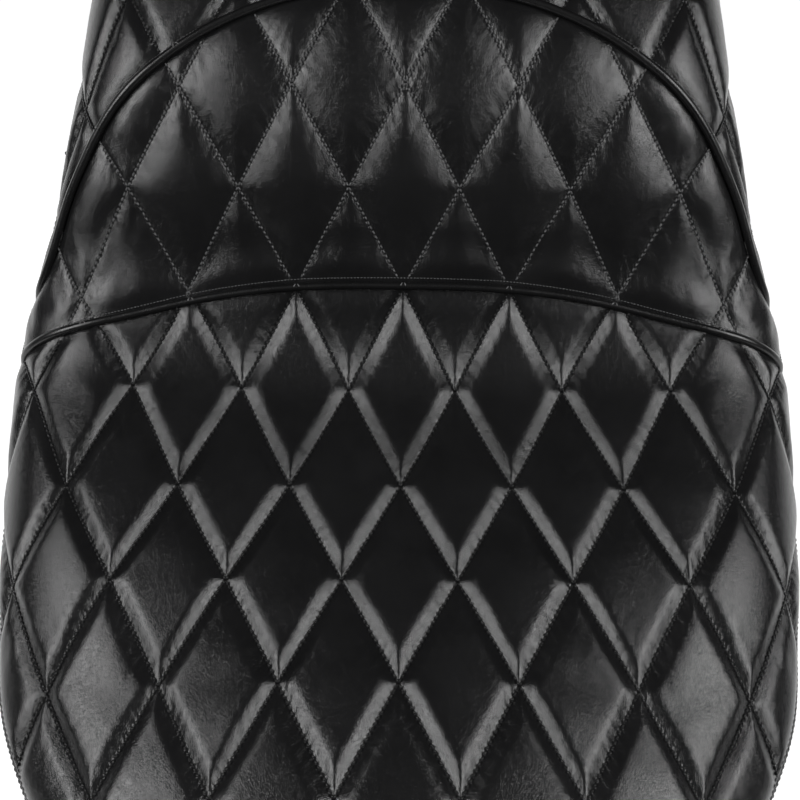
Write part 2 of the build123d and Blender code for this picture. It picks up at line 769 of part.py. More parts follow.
def make_rivet_washer(x, y):
    z = RIVET_PAN_Z[x, y] + WASHER_LIFT
    return cylinder(7.0, WASHER_T, x, y, z) - cylinder(RIVET_R + HOLE_PLAY, 10, x, y, z - 3)


# ------------------------------------------------------------------ captive thumb screw
COLLAR_R = 2.6
BACK_OUT = SCREW_PITCH * SCREW_TURNS + 0.5     # room for the screw to back out
SCREW_WASHER_Z = TAB_Z - BACK_OUT - 1.6


def make_mount_screw():
    head_r, head_h, groove_count, slot_depth = 9.5, 8.0, 28, 2.2
    z_head = TAB_Z + PLATE_T + SEAT_GAP
    head = cylinder(head_r, head_h, 0, SCREW_Y, z_head)
    head = chamfer(head.edges().filter_by(GeomType.CIRCLE), 0.8)
    for i in range(groove_count):
        a = 2 * math.pi * i / groove_count
        x, y = head_r * math.cos(a), SCREW_Y + head_r * math.sin(a)
        head = head - cylinder(0.55, head_h, x, y, z_head)
    head = head - box(1.6, 30, slot_depth, SCREW_Y - 15, z_head + head_h - slot_depth)
    collar_z = SCREW_WASHER_Z - 0.1
    shank_z = SCREW_WASHER_Z - 14.0
    collar = cylinder(COLLAR_R, z_head + 0.1 - collar_z, 0, SCREW_Y, collar_z)
    thread = cylinder(SCREW_R, collar_z - shank_z, 0, SCREW_Y, shank_z)
    thread = chamfer(lowest_circle(thread), 0.7)
    return head + collar + thread


def make_screw_washer():
    z = SCREW_WASHER_Z
    return (cylinder(7.0, 1.5, 0, SCREW_Y, z)
            - cylinder(COLLAR_R + 0.05, 10, 0, SCREW_Y, z - 3))


def make_tab_cushion():
    """Round-cornered pad under the tab, forward of the screw."""
    pad = box(33.0, 20.0, 2.0, 357.5, TAB_Z - 2.1)
    return fillet(pad.edges().filter_by(Axis.Z), 3.0)


# ------------------------------------------------------------------ bumpers
def make_bumper(x, y, z, height, foot_r, top_r):
    """Tapered bumper with a rounded foot, a dished underside and a stem for the pan socket."""
    body = Solid.make_cone(foot_r, top_r, height - 0.1, Plane((x, y, z)))
    body = fillet(lowest_circle(body), 2.0)
    stem = cylinder(STEM_R, 8.0, x, y, z + height - 0.2)
    hollow = cylinder(foot_r * 0.42, 3.0, x, y, z)
    return body + stem - hollow


# ------------------------------------------------------------------ staples
def make_staple(at, along, up):
    """Crown against the hem, two legs up through the hem into the pan rim."""
    width, wire = STAPLE_W, STAPLE_WIRE
    z = -wire - 0.03
    crown = box(width, wire * 2, wire, -wire, z)
    legs = [Solid.make_box(wire, wire * 2, 3.8, Plane((x, -wire, z)))
            for x in (-width / 2, width / 2 - wire)]
    staple = crown + legs[0] + legs[1]
    return staple.moved(Plane(origin=at, x_dir=along, z_dir=up).location)


def hem_point(which, s):
    x, y, n = corner_normal(which, s)
    out = -(skirt_tuck(y) + HEM_BEND + HEM_IN * 0.45)
    x, y = x + n[0] * out, y + n[1] * out
    return (x, y, hem_z(y)), n


def staple_row(which, count, margin):
    row = []
    for i in range(count):
        s = margin + (1 - 2 * margin) * i / (count - 1)
        at, n = hem_point(which, s)
        along = unit(subtract(hem_point(which, s + 0.003)[0], hem_point(which, s - 0.003)[0]))
        # the hem also climbs across its width
        inward = unit((-n[0], -n[1], (hem_z(at[1] - n[1] * 2) - hem_z(at[1])) / 2))
        up = unit(cross(along, inward))
        if up[2] < 0:
            up = negate(up)
        row.append(make_staple(at, along, up))
    return row


# ------------------------------------------------------------------ assemble and write
parts = make_top_layers()
for name, which, n, margin in (("side_panel_left", "left", 40, 0.0007),
                               ("side_panel_right", "right", 40, 0.0007),
                               ("nose_panel", "nose", 12, 0.004),
                               ("rear_panel", "rear", 12, 0.004)):
    parts[name] = make_skirt_panel(which, n, margin)
for name, curve, n, margin in (("riser_base_welt", base_welt_curve(0.0), 30, 0.006),
                               ("riser_arch_welt", arch_curve(0.0), 34, 0.008)):
    parts[name], parts[name + "_cord"] = make_piping(curve, n, margin)
parts["base_pan"] = make_pan()
parts["vent_grommets"] = Compound([make_vent_grommet(x, y) for x, y in VENTS])
parts["seat_foam"] = make_foam()
parts["front_tongue_bracket"] = make_front_tongue()
parts["rear_tab_bracket"] = make_rear_tab()
parts["front_bracket_rivets"] = Compound([make_rivet(x, y, TONGUE_Z) for x, y in FRONT_RIVETS])
parts["rear_bracket_rivets"] = Compound([make_rivet(x, y, TAB_Z) for x, y in REAR_RIVETS])
parts["rivet_washers"] = Compound([make_rivet_washer(x, y) for x, y in RIVETS])
parts["mount_screw"] = make_mount_screw()
parts["screw_retaining_washer"] = make_screw_washer()
parts["tab_cushion"] = make_tab_cushion()
parts["rail_bumpers"] = Compound(
    [make_bumper(x, y, 0.0, RAIL_H, 14.5, 12.5) for x, y in RAIL_FEET])
parts["fender_bumpers"] = Compound(
    [make_bumper(x, y, FENDER_Z, FENDER_H, 13.5, 12.0) for x, y in FENDER_FEET])
parts["cover_staples"] = Compound(
    staple_row("left", 26, 0.03) + staple_row("right", 26, 0.03)
    + staple_row("nose", 6, 0.14) + staple_row("rear", 8, 0.12))

os.makedirs("parts", exist_ok=True)
for name, shape in parts.items():
    export_step(shape, f"parts/{name}.step")
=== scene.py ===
"""A quilted two-person seat: rider cover, riser cover and pillion cover, with piping, thread and skirt.

It lies in its frame with +Z up, the nose towards -Y and the tail towards +Y. "Left" in the
piece names is the -X side. Shapes are worked out in millimetres and stored in metres.
"Across" and "along" are cloth coordinates: arc lengths measured on the skin of the seat.
"""
import math
from typing import NamedTuple
import bmesh
import bpy
import numpy as np
from mathutils import Matrix, Vector
from mathutils.bvhtree import BVHTree


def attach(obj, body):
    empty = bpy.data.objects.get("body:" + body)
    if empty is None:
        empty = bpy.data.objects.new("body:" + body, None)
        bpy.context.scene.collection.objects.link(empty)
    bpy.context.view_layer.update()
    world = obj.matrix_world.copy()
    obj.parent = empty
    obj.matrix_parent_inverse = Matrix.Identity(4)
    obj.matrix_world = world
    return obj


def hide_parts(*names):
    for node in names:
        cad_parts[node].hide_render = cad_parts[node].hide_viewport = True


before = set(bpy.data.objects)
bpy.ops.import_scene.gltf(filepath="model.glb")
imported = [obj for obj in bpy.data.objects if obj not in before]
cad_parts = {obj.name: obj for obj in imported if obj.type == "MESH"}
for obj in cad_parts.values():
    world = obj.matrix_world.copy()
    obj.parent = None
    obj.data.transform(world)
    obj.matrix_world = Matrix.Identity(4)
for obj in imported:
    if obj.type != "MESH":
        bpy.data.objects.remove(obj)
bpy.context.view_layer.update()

MM = 0.001
rng = np.random.default_rng(7)


# ============================================================ small maths
def spline(stations, values):
    """Natural cubic spline, held constant past its ends."""
    stations, values = np.array(stations, float), np.array(values, float)
    count = len(stations)
    step = np.diff(stations)
    rise = np.diff(values) / step
    matrix = np.zeros((count, count))
    target = np.zeros(count)
    matrix[0, 0] = matrix[-1, -1] = 1
    for i in range(1, count - 1):
        matrix[i, i - 1:i + 2] = step[i - 1], 2 * (step[i - 1] + step[i]), step[i]
        target[i] = 3 * (rise[i] - rise[i - 1])
    square = np.linalg.solve(matrix, target)
    linear = rise - step * (2 * square[:-1] + square[1:]) / 3
    cube = np.diff(square) / (3 * step)

    def evaluate(x):
        x = np.clip(np.asarray(x, float), stations[0], stations[-1])
        i = np.clip(np.searchsorted(stations, x, side="right") - 1, 0, count - 2)
        t = x - stations[i]
        return values[i] + linear[i] * t + square[i] * t * t + cube[i] * t ** 3

    return evaluate


def ease(t):
    """Smooth step from 0 to 1."""
    return t * t * (3 - 2 * t)


def unit(vectors):
    return vectors / np.maximum(np.linalg.norm(vectors, axis=-1, keepdims=True), 1e-9)


def square_to(vectors, axis):
    """The part of the vectors at right angles to a unit axis, at unit length."""
    return unit(vectors - (vectors * axis).sum(-1, keepdims=True) * axis)


def value_noise(points, scale, seed):
    """Smooth repeatable noise in -1..1 from 3-D points in millimetres."""
    grid = points / scale + seed * 17.31
    cell = np.floor(grid).astype(np.int64)
    part = ease(grid - cell)
    total = 0
    for dx in (0, 1):
        for dy in (0, 1):
            for dz in (0, 1):
                h = ((cell[:, 0] + dx) * 374761393 + (cell[:, 1] + dy) * 668265263
                     + (cell[:, 2] + dz) * 2147483647 + seed * 974711)
                h = (h ^ (h >> 13)) * 1274126177
                h = (h ^ (h >> 16)) & 0xFFFF
                weight = (np.where(dx, part[:, 0], 1 - part[:, 0])
                          * np.where(dy, part[:, 1], 1 - part[:, 1])
                          * np.where(dz, part[:, 2], 1 - part[:, 2]))
                total = total + weight * (h / 32767.5 - 1)
    return total


# ============================================================ outline and profiles
# Each profile is a list of y stations, then the value at each station, in millimetres.
# height of the centre line
crown_z = spline(
    [-400, -370, -330, -280, -229, -180, -130, -95, -72, -50, -30,
     4.5, 43.6, 75, 110, 150, 200, 260, 320, 360, 400],
    [127, 133, 135.5, 132.5, 125.5, 118, 111, 106.3, 106.5, 115, 129.5,
     163.5, 197.5, 212.5, 220.5, 223.5, 222.5, 219, 213, 208, 202])
# half the width at the edge seam
half_width = spline(
    [-400, -380, -355, -330, -300, -270, -241, -210, -180, -150, -120, -90, -56, -30,
     0, 31, 50, 76, 100, 140, 200, 250, 290, 325, 350, 365, 380, 400],
    [84, 95, 112, 132, 157, 175, 187.5, 193.8, 198.8, 202.4, 204.8, 206, 204.6, 197,
     184.6, 173.7, 168.8, 165.2, 163.2, 161.5, 160, 157.5, 152.5, 143, 132, 123, 111, 95])
# height of the edge seam
edge_z = spline(
    [-400, -370, -330, -280, -230, -180, -122, -85, -56, -30,
     0, 40, 76, 120, 180, 250, 320, 362, 400],
    [84, 90, 95, 97, 93, 86, 81, 80, 86, 100,
     124, 154, 168, 174, 174, 171, 164, 156, 148])
# rise of the top from its centre line to DISH_X off centre
dish = spline(
    [-400, -300, -229, -180, -130, -77, -40, 0, 60, 120, 200, 300, 400],
    [-14, -14, -7, 1, 5, 8, 5, 0, -3, -3, -2, -4, -8])
DISH_X = 140.0
# distance over which the top rounds down to the side seams
side_round = spline(
    [-400, -300, -200, -100, 0, 100, 200, 300, 400],
    [48, 55, 62, 58, 48, 46, 46, 46, 46])
# height of the pan rim, where the skirt turns under
hem_z = spline(
    [-400, -380, -340, -290, -230, -170, -60, 40, 110, 190, 280, 340, 400],
    [50, 46, 34, 21, 13, 9.5, 8, 10, 20, 40, 62, 76, 88])
# how far the skirt leans in from the edge seam to the rim
tuck = spline([-400, -300, -150, 0, 150, 300, 400], [12, 15, 17, 15, 15, 14, 12])

# how far each quilting row sweeps along y at SWEEP_X off centre
row_sweep = spline(
    [-392, -380, -340, -290, -235, -183, -131, -77, -35, 5, 44, 100, 200, 300, 364, 380],
    [36.2, 31, 12, -2, -6, -2.2, -3.2, -2.5, -7.5, -1, -4, -5, -5, -12, -24, -28.7])
SWEEP_X = 165.0

# The two welts cross the seat: x stations off centre, then y.
ARCH_END_Y = -33.0
ARCH_END_X = float(half_width(ARCH_END_Y))
WELT_Y = {
    "front": spline([-60, 0, 60, 100, 140, 170, 190, 206],
                    [-31.6, -30, -31.6, -36.6, -45.5, -52.5, -57.0, -62.0]),
    "arch": spline([-40, 0, 40, 80, 105, 127, 148.4, 161, 170.5, 178.5, 187, ARCH_END_X],
                   [84.2, 87, 84.2, 73, 61, 47, 29.4, 15, 2.0, -12.5, -24.0, ARCH_END_Y]),
}

# The nose and tail edges are bowed: middle y, bow from middle to corner, half width.
NOSE_Y, NOSE_BOW, NOSE_HALF = -392.0, 12.0, 95.0
TAIL_Y, TAIL_BOW, TAIL_HALF = 380.0, 16.0, 124.0
NOSE_ROUND, TAIL_ROUND = 45.0, 55.0
NOSE_CORNER_Y = NOSE_Y + NOSE_BOW
TAIL_CORNER_Y = TAIL_Y - TAIL_BOW


def nose_edge_y(x):
    return NOSE_Y + NOSE_BOW * (x / NOSE_HALF) ** 2


def tail_edge_y(x):
    return TAIL_Y - TAIL_BOW * (x / TAIL_HALF) ** 2


def shoulder(distance, radius):
    """Quarter-circle rise from 0 at an edge to 1 a radius away."""
    t = np.clip(1 - distance / radius, 0, 1)
    return np.sqrt(np.maximum(0, 1 - t * t))


def skin_z(x, y):
    rounding = (shoulder(half_width(y) - np.abs(x), side_round(y))
                * shoulder(y - nose_edge_y(x), NOSE_ROUND)
                * shoulder(tail_edge_y(x) - y, TAIL_ROUND))
    top = crown_z(y) + dish(y) * (x / DISH_X) ** 2
    edge = edge_z(y)
    return edge + (top - edge) * rounding


def sweep_at(centre_y, x):
    return row_sweep(centre_y) * (x / SWEEP_X) ** 2


# ============================================================ cloth coordinates
SKIN_ROWS, SKIN_COLS = 900, 400
ALONG_ZERO_Y = -31.0                                  # where along = 0 on the centre line

dense_y = NOSE_Y + (TAIL_Y - NOSE_Y) * (0.5 - 0.5 * np.cos(np.linspace(0, np.pi, 6001)))
dense_z = skin_z(np.zeros_like(dense_y), dense_y)
dense_along = np.concatenate([[0], np.cumsum(np.hypot(np.diff(dense_y), np.diff(dense_z)))])
dense_along -= np.interp(ALONG_ZERO_Y, dense_y, dense_along)
ALONG_MIN, ALONG_MAX = float(dense_along[0]), float(dense_along[-1])
COL_FRACTION = np.linspace(0, 1, SKIN_COLS)
ROW_ALONG = np.linspace(ALONG_MIN, ALONG_MAX, SKIN_ROWS)


def row_ends(centre_y):
    """x where each row meets the side seam, found by damped repetition."""
    x = np.full_like(centre_y, 150.0)
    for _ in range(60):
        x = 0.6 * x + 0.4 * half_width(centre_y + sweep_at(centre_y, x))
    x[0], x[-1] = NOSE_HALF, TAIL_HALF
    return x


def skin_tables():
    """Half arc length of every row, and x, y, z tables of the +X half at even arc steps."""
    centre_y = np.interp(ROW_ALONG, dense_along, dense_y)
    centre_y[0], centre_y[-1] = NOSE_Y, TAIL_Y
    spread = 1 - (1 - np.linspace(0, 1, 700)) ** 2.2  # points crowd towards the side seam
    x = row_ends(centre_y)[:, None] * spread[None, :]
    y = centre_y[:, None] + sweep_at(centre_y[:, None], x)
    z = skin_z(x, y)
    z[:, -1] = edge_z(y[:, -1])
    pieces = np.sqrt(np.diff(x, axis=1) ** 2 + np.diff(y, axis=1) ** 2 + np.diff(z, axis=1) ** 2)
    arc = np.concatenate([np.zeros((SKIN_ROWS, 1)), np.cumsum(pieces, axis=1)], axis=1)
    tables = np.empty((3, SKIN_ROWS, SKIN_COLS))
    for i in range(SKIN_ROWS):
        for axis, values in enumerate((x, y, z)):
            tables[axis, i] = np.interp(COL_FRACTION, arc[i] / arc[i, -1], values[i])
    return arc[:, -1].copy(), tables


ROW_ARC, SKIN = skin_tables()


def half_arc(along):
    """Arc length from the centre line to the side seam."""
    return np.interp(along, ROW_ALONG, ROW_ARC)


def table_row(along):
    """Row index in the skin tables and the fraction towards the next row."""
    position = (along - ALONG_MIN) / (ALONG_MAX - ALONG_MIN) * (SKIN_ROWS - 1)
    row = np.clip(position.astype(int), 0, SKIN_ROWS - 2)
    return row, position - row


def skin_point(across, along):
    along = np.clip(along, ALONG_MIN, ALONG_MAX)
    row, row_part = table_row(along)
    position = np.clip(np.abs(across) / half_arc(along), 0, 1) * (SKIN_COLS - 1)
    col = np.clip(position.astype(int), 0, SKIN_COLS - 2)
    col_part = position - col
    point = []
    for table in SKIN:
        near = table[row, col] * (1 - col_part) + table[row, col + 1] * col_part
        far = table[row + 1, col] * (1 - col_part) + table[row + 1, col + 1] * col_part
        point.append(near * (1 - row_part) + far * row_part)
    point[0] = point[0] * np.where(across < 0, -1, 1)
    return np.stack(point, -1)


def skin_frame(across, along, reach=0.8):
    """Skin points and unit normals, from differences over the reach that stay in the outline."""
    limit = half_arc(along)
    left, right = np.maximum(across - reach, -limit), np.minimum(across + reach, limit)
    front = np.maximum(along - reach, ALONG_MIN)
    back = np.minimum(along + reach, ALONG_MAX)
    fraction = across / np.maximum(limit, 1e-6)
    step_across = skin_point(right, along) - skin_point(left, along)
    step_along = (skin_point(fraction * half_arc(back), back)
                  - skin_point(fraction * half_arc(front), front))
    return skin_point(across, along), unit(np.cross(step_across, step_along))


def to_cloth(x, y):
    """Cloth coordinates of plan points."""
    centre_y = y.copy()
    for _ in range(30):
        centre_y = y - sweep_at(centre_y, x)
    along = np.interp(centre_y, dense_y, dense_along)
    row, part = table_row(along)
    across = np.empty_like(x)
    for i in range(x.size):
        row_x = SKIN[0][row[i]] * (1 - part[i]) + SKIN[0][row[i] + 1] * part[i]
        across[i] = np.interp(abs(x[i]), row_x, COL_FRACTION) * half_arc(along[i])
    return np.where(x < 0, -across, across), along


# ============================================================ quilting lattice
# Stitch lines lie at whole numbers of p and of q. Rows of diamond corners are p - q apart.
DIAMOND_WIDTH = 55.0
DIAMOND_SIDE = 48.0                                   # nominal distance between stitch lines
LATTICE_REACH = 12                                    # p and q run this far each way
STITCHES_PER_SIDE = 21
ROW_PITCH = 51.0                                      # beyond the measured rows
MEASURED_ROWS = [-204.9, -155.8, -106.2, -52.8, 0.0, 51.6, 102.4]
row_stations = ([MEASURED_ROWS[0] - ROW_PITCH * i for i in range(6, 0, -1)] + MEASURED_ROWS
                + [MEASURED_ROWS[-1] + ROW_PITCH * i for i in range(1, 9)])
row_at_along = spline(row_stations, np.arange(-10, 11))
lattice_along = np.linspace(row_stations[0], row_stations[-1], 4000)
lattice_row = row_at_along(lattice_along)


def to_lattice(across, along):
    column, row = across / DIAMOND_WIDTH, row_at_along(along)
    return column + row / 2, column - row / 2


def from_lattice(p, q):
    return (p + q) / 2 * DIAMOND_WIDTH, np.interp(p - q, lattice_row, lattice_along)


# ============================================================ mesh helpers
def shade_smooth(o):
    o.data.polygons.foreach_set("use_smooth", np.ones(len(o.data.polygons), bool))


def add_mesh(name, verts, faces, smooth=True):
    """Mesh object from vertices in millimetres and faces of any size."""
    me = bpy.data.meshes.new(name)
    verts = np.asarray(verts, np.float64) * MM
    corners = np.concatenate(faces).astype(np.int32)
    sizes = np.array([len(face) for face in faces])
    me.vertices.add(len(verts))
    me.vertices.foreach_set("co", verts.astype(np.float32).ravel())
    me.loops.add(len(corners))
    me.loops.foreach_set("vertex_index", corners)
    me.polygons.add(len(sizes))
    me.polygons.foreach_set("loop_start", (np.cumsum(sizes) - sizes).astype(np.int32))
    me.update(calc_edges=True)
    me.validate()
    o = bpy.data.objects.new(name, me)
    if smooth:
        shade_smooth(o)
    bpy.context.scene.collection.objects.link(o)
    return o


def tube_faces(rings, sides):
    """Quads round a tube whose vertices are stored ring by ring."""
    ring = np.arange(rings - 1)[:, None] * sides
    side = np.arange(sides)[None, :]
    after = (side + 1) % sides
    quads = [ring + side, ring + after, ring + sides + after, ring + sides + side]
    return np.stack(quads, -1).reshape(-1, 4)


def add_attribute(o, name, values):
    attribute = o.data.attributes.new(name, "FLOAT", "POINT")
    attribute.data.foreach_set("value", np.asarray(values, np.float32))


def read_attribute(o, name):
    out = np.zeros(len(o.data.vertices), np.float32)
    o.data.attributes[name].data.foreach_get("value", out)
    return out.astype(float)


def read_vectors(items, field):
    out = np.zeros(len(items) * 3, np.float32)
    items.foreach_get(field, out)
    return out.reshape(-1, 3).astype(float)


def set_coords(o, positions):
    o.data.vertices.foreach_set("co", positions.astype(np.float32).ravel())
    o.data.update()


def push_out(o, distance):
    """Moves each vertex along its normal by a distance in millimetres."""
    normals = read_vectors(o.data.vertex_normals, "vector")
    positions = read_vectors(o.data.vertices, "co")
    set_coords(o, positions + normals * (distance * MM)[:, None])


def apply_all(o):
    """Turns the object's modifiers into its mesh."""
    dg = bpy.context.evaluated_depsgraph_get()
    me = bpy.data.meshes.new_from_object(
        o.evaluated_get(dg), preserve_all_data_layers=True, depsgraph=dg)
    o.modifiers.clear()
    o.data = me
    shade_smooth(o)


looks = []                                            # (object, key into COVER_MATERIALS)


def register(o, slot, look, *pieces):
    """Ties an object to the seat and to its material, and hides the CAD pieces it stands for."""
    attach(o, "seat")
    if pieces:
        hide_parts(*pieces)
    looks.append((o, look))


# ============================================================ quilted panels
class Panel(NamedTuple):
    edges: tuple      # (welt, side): side 1 keeps what is behind the welt, -1 what is in front
    depth: float      # how far the stitch lines sink
    puff: float       # starting dome of each diamond
    slack: float      # spare cloth, as a fraction
    flank: float      # width of the sloping border of a diamond
    knee: float       # how sharply the border turns into the flat
    thread: str       # look of the quilting thread
    pieces: tuple     # CAD pieces the cover stands for


PANELS = {
    "rider_cover": Panel(
        edges=(("front", -1),), depth=3.0, puff=0.05, slack=0.0005, flank=6.8, knee=5.5,
        thread="thread", pieces=("rider_top_panel", "rider_quilt_pad", "seat_foam")),
    "riser_cover": Panel(
        edges=(("front", 1), ("arch", -1)), depth=1.65, puff=0.6, slack=0.0022, flank=11.0,
        # painted glint: the riser's quilting thread gets the paler thread colour, standing in for the
        # glints that light puts on it
        knee=2.6, thread="painted_glint_thread", pieces=("riser_panel", "riser_quilt_pad")),
    "pillion_cover": Panel(
        edges=(("arch", 1),), depth=2.8, puff=0.3, slack=0.0012, flank=6.6, knee=5.0,
        thread="thread", pieces=("pillion_top_panel", "pillion_quilt_pad")),
}
EDGE_SHIFT = 0.6                                      # panel edge to welt line
CELLS_PER_SIDE = 16                                   # mesh cells along one diamond side
RIM_WIDTH = 9.0                                       # quilting fades out over this at the seams
RIM_DROP, WELT_DROP = 0.9, 1.3                        # the cover dips at the seams and the welts


def welt_gap(kind, across, along, shift=0.0):
    """How far a welt line, shifted along y, lies behind each cloth point."""
    point = skin_point(across, along)
    return WELT_Y[kind](np.abs(point[..., 0])) + shift - point[..., 1]


def overshoot(kind, side, across, along):
    """Positive where a cloth point lies past a panel's edge."""
    return welt_gap(kind, across, along, side * EDGE_SHIFT) * side


def clip_to_outline(across, along):
    along = np.clip(along, ALONG_MIN, ALONG_MAX)
    limit = half_arc(along)
    return np.clip(across, -limit, limit), along


def snap(across, along, edges):
    """Moves cloth points that lie past a panel's edges on to them."""
    for _ in range(12):
        across, along = clip_to_outline(across, along)
        for kind, side in edges:
            gap = overshoot(kind, side, across, along)
            front, back = skin_point(across, along - 0.5), skin_point(across, along + 0.5)
            rate = np.maximum(np.abs(back[..., 1] - front[..., 1]), 0.25)
            along = np.where(gap > 0, along + side * gap / rate * 0.9, along)
    return clip_to_outline(across, along)


def inside(across, along, edges):
    ok = (along > ALONG_MIN) & (along < ALONG_MAX) & (np.abs(across) < half_arc(along))
    for kind, side in edges:
        ok &= overshoot(kind, side, across, along) < 0
    return ok


def line_stations():
    """Lattice values of the mesh lines, crowded towards the stitch lines."""
    t = np.linspace(0, 1, CELLS_PER_SIDE + 1)
    t = 0.62 * t + 0.38 * (0.5 - 0.5 * np.cos(np.pi * t))
    return (np.arange(-LATTICE_REACH, LATTICE_REACH)[:, None] + t[:-1][None, :]).ravel()


def clean_and_crease(o):
    """Merges the slivers made by snapping, turns faces up and creases the stitch lines."""
    bm = bmesh.new()
    bm.from_mesh(o.data)
    bmesh.ops.remove_doubles(bm, verts=bm.verts, dist=0.00025)
    bmesh.ops.dissolve_degenerate(bm, dist=0.0001, edges=bm.edges)
    bmesh.ops.recalc_face_normals(bm, faces=bm.faces)
    if sum(f.normal.z for f in bm.faces) < 0:
        bmesh.ops.reverse_faces(bm, faces=bm.faces)
    layers = bm.verts.layers.float["p"], bm.verts.layers.float["q"]
    crease = bm.edges.layers.float.new("crease_edge")
    for edge in bm.edges:
        start, end = edge.verts
        for layer in layers:
            line = round(start[layer])
            if abs(start[layer] - line) < 1e-4 and abs(end[layer] - line) < 1e-4:
                edge[crease] = 0.35
    bm.to_mesh(o.data)
    bm.free()


def quilt_panel(name, panel):
    """Mesh of one panel whose lines follow the quilting lattice."""
    stations = line_stations()
    count = len(stations)
    grid_p, grid_q = np.meshgrid(stations, stations, indexing="ij")
    across, along = from_lattice(grid_p, grid_q)
    ok = inside(across, along, panel.edges)
    # a face is kept when any of its corners is inside
    face_ok = ok[:-1, :-1] | ok[1:, :-1] | ok[:-1, 1:] | ok[1:, 1:]
    used = np.zeros((count, count), bool)
    for rows in (slice(None, -1), slice(1, None)):
        for cols in (slice(None, -1), slice(1, None)):
            used[rows, cols] |= face_ok
    index = -np.ones((count, count), int)
    index[used] = np.arange(used.sum())
    i, j = np.nonzero(face_ok)
    faces = np.stack([index[i, j], index[i + 1, j], index[i + 1, j + 1], index[i, j + 1]], 1)

    across, along = snap(across[used], along[used], panel.edges)
    # points that were never moved keep their exact lattice values, so the seams stay exact
    moved = ~ok[used]
    p, q = to_lattice(across, along)
    p = np.where(moved, p, grid_p[used])
    q = np.where(moved, q, grid_q[used])

    points, normals = skin_frame(across, along)
    end_gap = np.minimum(along - ALONG_MIN, ALONG_MAX - along)
    rim_gap = np.minimum(half_arc(along) - np.abs(across), end_gap)
    rim = ease(np.clip(rim_gap / RIM_WIDTH, 0, 1))
    welt_distance = np.full(len(across), 1e9)
    for kind, _ in panel.edges:
        welt_distance = np.minimum(welt_distance, np.abs(welt_gap(kind, across, along)))
    welt_fade = ease(np.clip((welt_distance - 1.0) / 7.0, 0, 1))
    dome = np.abs(np.sin(np.pi * p) * np.sin(np.pi * q)) ** 0.8
    lift = dome * panel.puff * rim * welt_fade - (1 - rim) * RIM_DROP - (1 - welt_fade) * WELT_DROP

    o = add_mesh(name, points + normals * lift[:, None], faces)
    add_attribute(o, "p", p)
    add_attribute(o, "q", q)
    add_attribute(o, "ca", across)
    add_attribute(o, "cl", along)
    add_attribute(o, "rim", rim * welt_fade)
    add_attribute(o, "sink", rim * (0.30 + 0.70 * welt_fade))
    clean_and_crease(o)
    return o


def pinned_points(o):
    """True on the stitch lines and panel edges."""
    pinned = read_attribute(o, "rim") < 0.55
    for name in ("p", "q"):
        value = read_attribute(o, name)
        pinned |= np.abs(value - np.round(value)) < 1e-3
    return pinned


def inflate(o, pinned, frames, pressure, slack, cap):
    """Swells the diamonds between their stitch lines with cloth, moving no point past the cap (m)."""
    rest = read_vectors(o.data.vertices, "co")
    group = o.vertex_groups.new(name="pin")
    group.add([int(i) for i in np.nonzero(pinned)[0]], 1.0, "REPLACE")
    cloth = o.modifiers.new("Cloth", "CLOTH")
    settings = cloth.settings
    settings.quality = 4
    settings.mass = 0.12
    settings.tension_stiffness = 12
    settings.compression_stiffness = 12
    settings.shear_stiffness = 4
    settings.bending_stiffness = 1.2
    settings.air_damping = 2.0
    settings.vertex_group_mass = "pin"
    settings.pin_stiffness = 5
    settings.shrink_min = -slack
    settings.use_pressure = True
    settings.uniform_pressure_force = pressure
    settings.effector_weights.gravity = 0.0
    cloth.collision_settings.use_collision = False
    cloth.collision_settings.use_self_collision = False
    cloth.point_cache.frame_start = 1
    cloth.point_cache.frame_end = frames
    scene = bpy.context.scene
    for number in range(1, frames + 1):
        scene.frame_set(number)
    evaluated = o.evaluated_get(bpy.context.evaluated_depsgraph_get())
    swollen = read_vectors(evaluated.to_mesh().vertices, "co")
    evaluated.to_mesh_clear()
    o.modifiers.clear()
    scene.frame_set(1)
    move = swollen - rest
    length = np.linalg.norm(move, axis=1, keepdims=True)
    move = move * np.minimum(1.0, cap / np.maximum(length, 1e-9))
    move[pinned] = 0
    set_coords(o, rest + move)


def subdivide(o, levels):
    modifier = o.modifiers.new("sub", "SUBSURF")
    modifier.levels = modifier.render_levels = levels
    modifier.boundary_smooth = "PRESERVE_CORNERS"
    apply_all(o)


def sink_seams(o, panel):
    """Draws the stitch lines down into the padding, leaving the flat of each diamond."""
    def rise(t):
        distance = (0.5 - np.abs(t - np.floor(t) - 0.5)) * DIAMOND_SIDE
        return 1 - np.logaddexp(0, panel.knee * (1 - distance / panel.flank)) / panel.knee

    rise_p, rise_q = rise(read_attribute(o, "p")), rise(read_attribute(o, "q"))
    height = -np.logaddexp(-12 * rise_p, -12 * rise_q) / 12   # soft minimum of the two
    push_out(o, (height - 1) * panel.depth * read_attribute(o, "sink"))


GATHER_HEIGHT = 0.10
GATHER_PITCH = 7.3
GATHER_FADE = 6.5                                     # gathers die away over this distance
LINE_RUN = 57.9                                       # millimetres along a line per lattice step


def pucker(o):
    """Fine gathers beside each stitch line, and a faint unevenness over the whole panel."""
    p, q, rim = (read_attribute(o, name) for name in ("p", "q", "rim"))
    points = read_vectors(o.data.vertices, "co") / MM
    wobble = value_noise(points, 9.0, 3) * 4.0
    gathers = np.zeros(len(p))
    for line, run in ((p, q), (q, p)):
        distance = np.abs(line - np.round(line)) * DIAMOND_SIDE
        phase = run * LINE_RUN / GATHER_PITCH * 2 * math.pi + wobble + np.round(line) * 1.7
        fade = np.exp(-distance / GATHER_FADE) * np.clip(distance / 1.6, 0, 1)
        gathers += fade * np.cos(phase) * 0.75
    uneven = value_noise(points, 23.0, 5) * 0.018 + value_noise(points, 11.0, 8) * 0.007
    push_out(o, (gathers * GATHER_HEIGHT + uneven) * rim)


